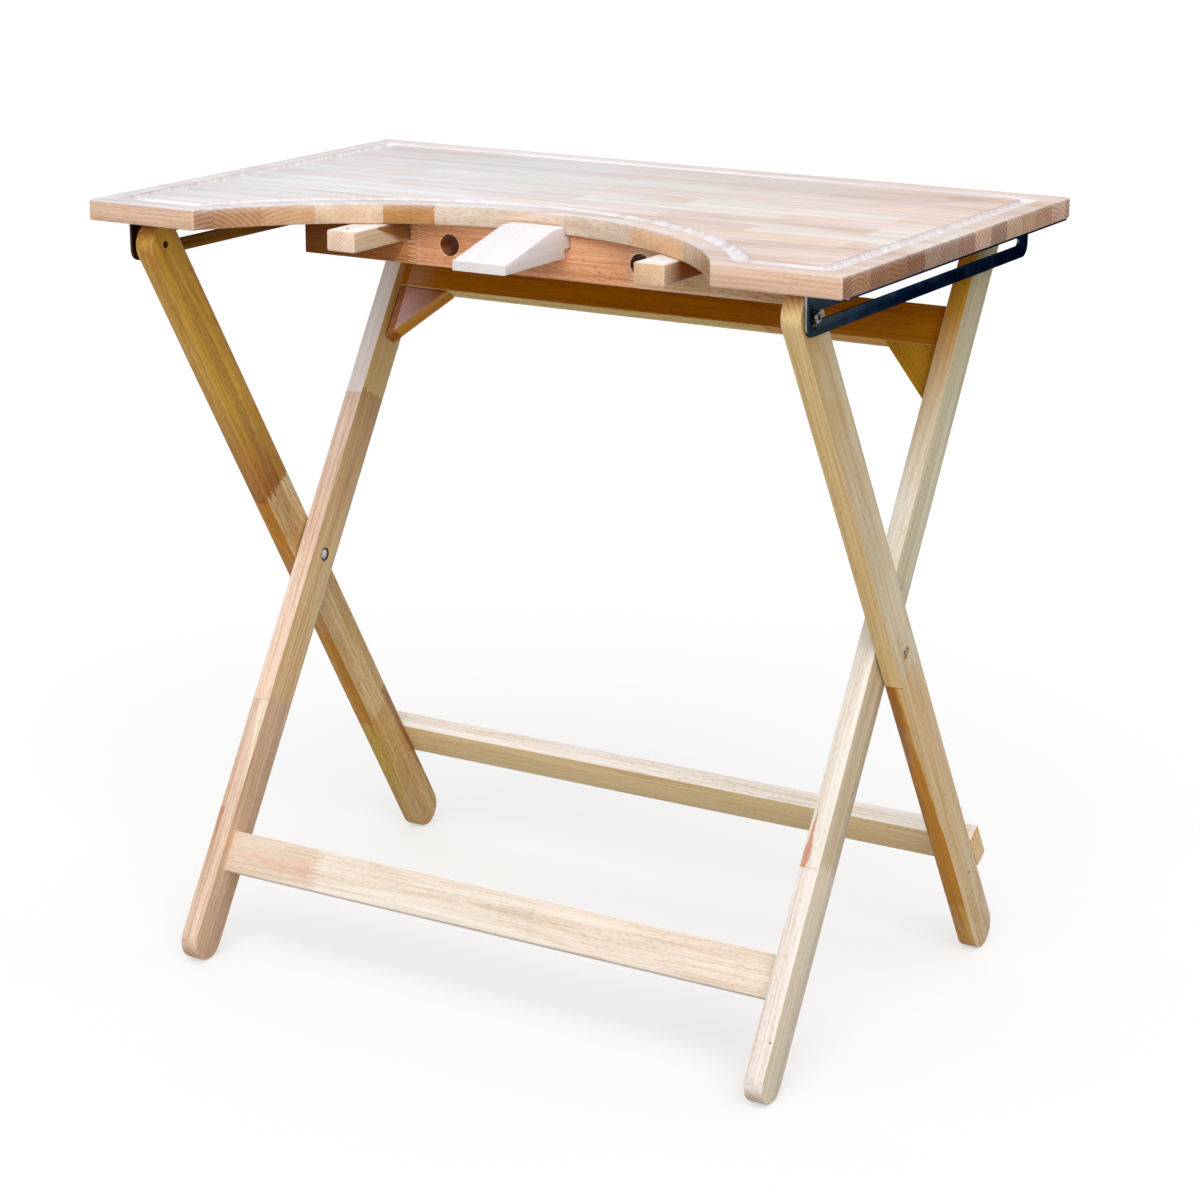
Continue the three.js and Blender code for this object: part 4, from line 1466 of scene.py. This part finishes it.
@dataclass
class InnerFrame(SubAssembly):
    """The leg frame that stands inside, with its rails and gussets."""

    easing: Easing
    shared: SharedFinishes
    gusset_length: float = 0.059
    gusset_top: float = 0.1173
    inner_face: float = 0.314
    pit_shares: tuple[float, float] = (0.13, 0.87)
    pit_width: float = 0.0022
    foot_pit: tuple[float, float] = (0.331, -0.386)
    foot_pit_width: float = 0.0018

    def build(self) -> None:
        """Dress the frame and add the nail holes of its gussets and right leg."""
        self.dress("left_inner_leg", LEFT_INNER_LEG_WOOD.make(), 0.0)
        self.dress("right_inner_leg", RIGHT_INNER_LEG_WOOD.make(), 0.0)
        self.dress("upper_rail", UPPER_RAIL_WOOD.make(), 0.0)
        self.dress("front_stretcher", FRONT_STRETCHER_WOOD.make(), 0.0)
        self.dress("left_gusset", LEFT_GUSSET_WOOD.make(), 0.0009)
        self.dress("right_gusset", RIGHT_GUSSET_WOOD.make(), 0.0009)
        for side in Side:
            self.dress(f"{side.word}_hinge_bolt", self.shared.zinc, 0.0002)
            self.dress(f"{side.word}_hinge_nut", self.shared.zinc, 0.0003)
        self.add_pits()

    def add_pits(self) -> None:
        """Fill two nail holes in the slope of each gusset and one in the right leg."""
        mesh = bmesh.new()
        top = LEG_HALF_SPAN - self.gusset_top
        for side in Side:
            slope = Vector((-side.value, 0, 0)) + leaning_way(-LEG_LEAN, 0, -1)
            for share in self.pit_shares:
                x = side.value * (self.inner_face - self.gusset_length * (1 - share))
                seat = leaning(-LEG_LEAN, x, 0.0, top - self.gusset_length * share)
                NailPit(self.pit_width).stamp(mesh, seat, slope)
        foot = leaning(-LEG_LEAN, self.foot_pit[0], -LEG_HALF_WIDTH, self.foot_pit[1])
        NailPit(self.foot_pit_width).stamp(mesh, foot, leaning_way(-LEG_LEAN, -1, 0))
        self.add("inner_frame_pits", mesh, self.shared.pit, Body.INNER_FRAME, "leg_wood")


@dataclass
class OuterFrame(SubAssembly):
    """The leg frame that stands outside, with its stretcher, bolts and nuts."""

    easing: Easing
    shared: SharedFinishes
    outer_face: float = 0.3555
    pit_width: float = 0.003
    foot_pit: tuple[float, float] = (0.003, -0.331)

    def build(self) -> None:
        """Dress the frame and its hardware, and fill the nail hole of the right leg's foot."""
        self.dress("left_outer_leg", LEFT_OUTER_LEG_WOOD.make(), 0.0)
        self.dress("right_outer_leg", RIGHT_OUTER_LEG_WOOD.make(), 0.0)
        self.dress("rear_stretcher", REAR_STRETCHER_WOOD.make(), 0.0)
        zinc = self.shared.zinc
        dark_plated = DARK_PLATED_STEEL.make()
        for side in Side:
            self.dress(f"{side.word}_pivot_bolt", zinc, 0.0003)
            self.dress(f"{side.word}_pivot_nut", zinc, 0.0004)
            self.dress(f"{side.word}_pivot_washer", zinc, 0.0002)
            self.dress(f"{side.word}_slot_bolt", dark_plated, 0.0003)
            self.dress(f"{side.word}_threaded_insert", zinc, 0.0002)
        mesh = bmesh.new()
        seat = leaning(LEG_LEAN, self.outer_face, *self.foot_pit)
        NailPit(self.pit_width).stamp(mesh, seat, Vector((1, 0, 0)))
        self.add("outer_frame_pit", mesh, self.shared.pit, Body.OUTER_FRAME, "leg_wood")


@dataclass
class Studio:
    """A pale floor, soft light and the camera at the photograph's place."""

    ambient: float = 0.38
    key_strength: float = 2.08
    key_softness: float = 70.0
    key_from: tuple[float, float, float] = (0.27, -0.48, 0.37)
    overhead_strength: float = 0.94
    overhead_softness: float = 120.0
    floor_bounce: Colour = (0.33, 0.32, 0.31, 1.0)
    floor_glow: float = 0.5
    camera_place: tuple[float, float, float] = (1.438705, -2.428967, 1.215367)
    yaw: float = -0.52848
    pitch: float = 0.28535
    roll: float = 0.00334
    focal_share: float = 2942.946 / 1200
    centre: tuple[float, float] = (599.244 / 1200, 590.093 / 1200)
    sensor: float = 36.0

    def build(self) -> None:
        """Set up the floor, the light and the camera."""
        self.build_world()
        self.build_floor()
        self.hang_sun("soft_key", self.key_strength, self.key_softness, Vector(self.key_from))
        self.hang_sun("overhead", self.overhead_strength, self.overhead_softness, Vector((0, 0, 1)))
        self.build_camera()
        bpy.context.scene.view_settings.view_transform = "Standard"
        log.info("studio ready")

    def build_world(self) -> None:
        """Light the scene softly, and show white behind it."""
        world = bpy.data.worlds.new("soft_room")
        bpy.context.scene.world = world
        world.use_nodes = True
        tree = world.node_tree
        tree.nodes.clear()
        room = tree.nodes.new("ShaderNodeBackground")
        room.inputs["Strength"].default_value = self.ambient
        white = tree.nodes.new("ShaderNodeBackground")
        white.inputs["Strength"].default_value = 1.0
        for shade in (room, white):
            shade.inputs["Color"].default_value = (1.0, 1.0, 1.0, 1.0)
        choice = tree.nodes.new("ShaderNodeMixShader")
        tree.links.new(self.seen_rays(tree), choice.inputs[0])
        tree.links.new(room.outputs[0], choice.inputs[1])
        tree.links.new(white.outputs[0], choice.inputs[2])
        output = tree.nodes.new("ShaderNodeOutputWorld")
        tree.links.new(choice.outputs[0], output.inputs["Surface"])

    def seen_rays(self, tree: bpy.types.NodeTree) -> Socket:
        """Tell the rays that show the background from those that only light.

        Args:
            tree: The node tree that asks.

        Returns:
            A socket that is 1 for camera, glossy and transmission rays.
        """
        path = tree.nodes.new("ShaderNodeLightPath")
        first = tree.nodes.new("ShaderNodeMath")
        first.operation = "MAXIMUM"
        tree.links.new(path.outputs["Is Camera Ray"], first.inputs[0])
        tree.links.new(path.outputs["Is Glossy Ray"], first.inputs[1])
        second = tree.nodes.new("ShaderNodeMath")
        second.operation = "MAXIMUM"
        tree.links.new(first.outputs[0], second.inputs[0])
        tree.links.new(path.outputs["Is Transmission Ray"], second.inputs[1])
        return second.outputs[0]

    def build_floor(self) -> None:
        """Lay a wide pale floor that takes the shadow."""
        mesh = bmesh.new()
        bmesh.ops.create_grid(mesh, x_segments=4, y_segments=4, size=60.0)
        data = bpy.data.meshes.new("floor")
        mesh.to_mesh(data)
        mesh.free()
        floor = bpy.data.objects.new("floor", data)
        floor.location.z = -0.0005
        bpy.context.scene.collection.objects.link(floor)
        material = bpy.data.materials.new("pale_floor")
        material.use_nodes = True
        tree = material.node_tree
        tree.nodes.clear()
        shade = tree.nodes.new("ShaderNodeMix")
        shade.data_type = "RGBA"
        seen = self.seen_rays(tree)
        tree.links.new(seen, shade.inputs[0])
        shade.inputs[6].default_value = self.floor_bounce
        shade.inputs[7].default_value = (1.0, 1.0, 1.0, 1.0)
        matt = tree.nodes.new("ShaderNodeBsdfDiffuse")
        tree.links.new(shade.outputs[2], matt.inputs["Color"])
        glow = tree.nodes.new("ShaderNodeEmission")
        glow.inputs["Strength"].default_value = 1.0
        part = tree.nodes.new("ShaderNodeMath")
        part.operation = "MULTIPLY"
        tree.links.new(seen, part.inputs[0])
        part.inputs[1].default_value = self.floor_glow
        both = tree.nodes.new("ShaderNodeMixShader")
        tree.links.new(part.outputs[0], both.inputs[0])
        tree.links.new(matt.outputs[0], both.inputs[1])
        tree.links.new(glow.outputs[0], both.inputs[2])
        output = tree.nodes.new("ShaderNodeOutputMaterial")
        tree.links.new(both.outputs[0], output.inputs["Surface"])
        data.materials.append(material)

    def hang_sun(self, name: str, strength: float, softness: float, comes_from: Vector) -> None:
        """Hang a broad soft light.

        Args:
            name: The light's name.
            strength: Its strength, in watts on a square metre.
            softness: The width of its disc in the sky, in degrees.
            comes_from: The direction that it shines from.
        """
        light = bpy.data.lights.new(name, "SUN")
        light.energy = strength
        light.angle = math.radians(softness)
        sun = bpy.data.objects.new(name, light)
        sun.rotation_euler = comes_from.to_track_quat("Z", "Y").to_euler()
        bpy.context.scene.collection.objects.link(sun)

    def build_camera(self) -> None:
        """Stand the camera where the photograph was taken."""
        level = math.cos(self.pitch)
        ahead = Vector((math.sin(self.yaw) * level, math.cos(self.yaw) * level, -math.sin(self.pitch)))
        right = Vector((math.cos(self.yaw), -math.sin(self.yaw), 0.0))
        up = right.cross(ahead)
        rolled_right = right * math.cos(self.roll) + up * math.sin(self.roll)
        rolled_up = up * math.cos(self.roll) - right * math.sin(self.roll)
        turn = Matrix((rolled_right, rolled_up, -ahead)).transposed().to_4x4()
        turn.translation = Vector(self.camera_place)
        lens = bpy.data.cameras.new("camera")
        lens.sensor_width = self.sensor
        lens.lens = self.focal_share * self.sensor
        lens.shift_x = 0.5 - self.centre[0]
        lens.shift_y = self.centre[1] - 0.5
        lens.clip_end = 200.0
        camera = bpy.data.objects.new("camera", lens)
        camera.matrix_world = turn
        bpy.context.scene.collection.objects.link(camera)
        bpy.context.scene.camera = camera


def main() -> None:
    """Build the studio, then each sub-assembly in order."""
    logging.basicConfig(level=logging.INFO, format="%(name)s: %(message)s")
    Studio().build()
    easing = Easing()
    shared = SharedFinishes()
    for kind in (WorkTop, HandPieces, InnerFrame, OuterFrame):
        kind(easing, shared).build()


if __name__ == "__main__":
    main()
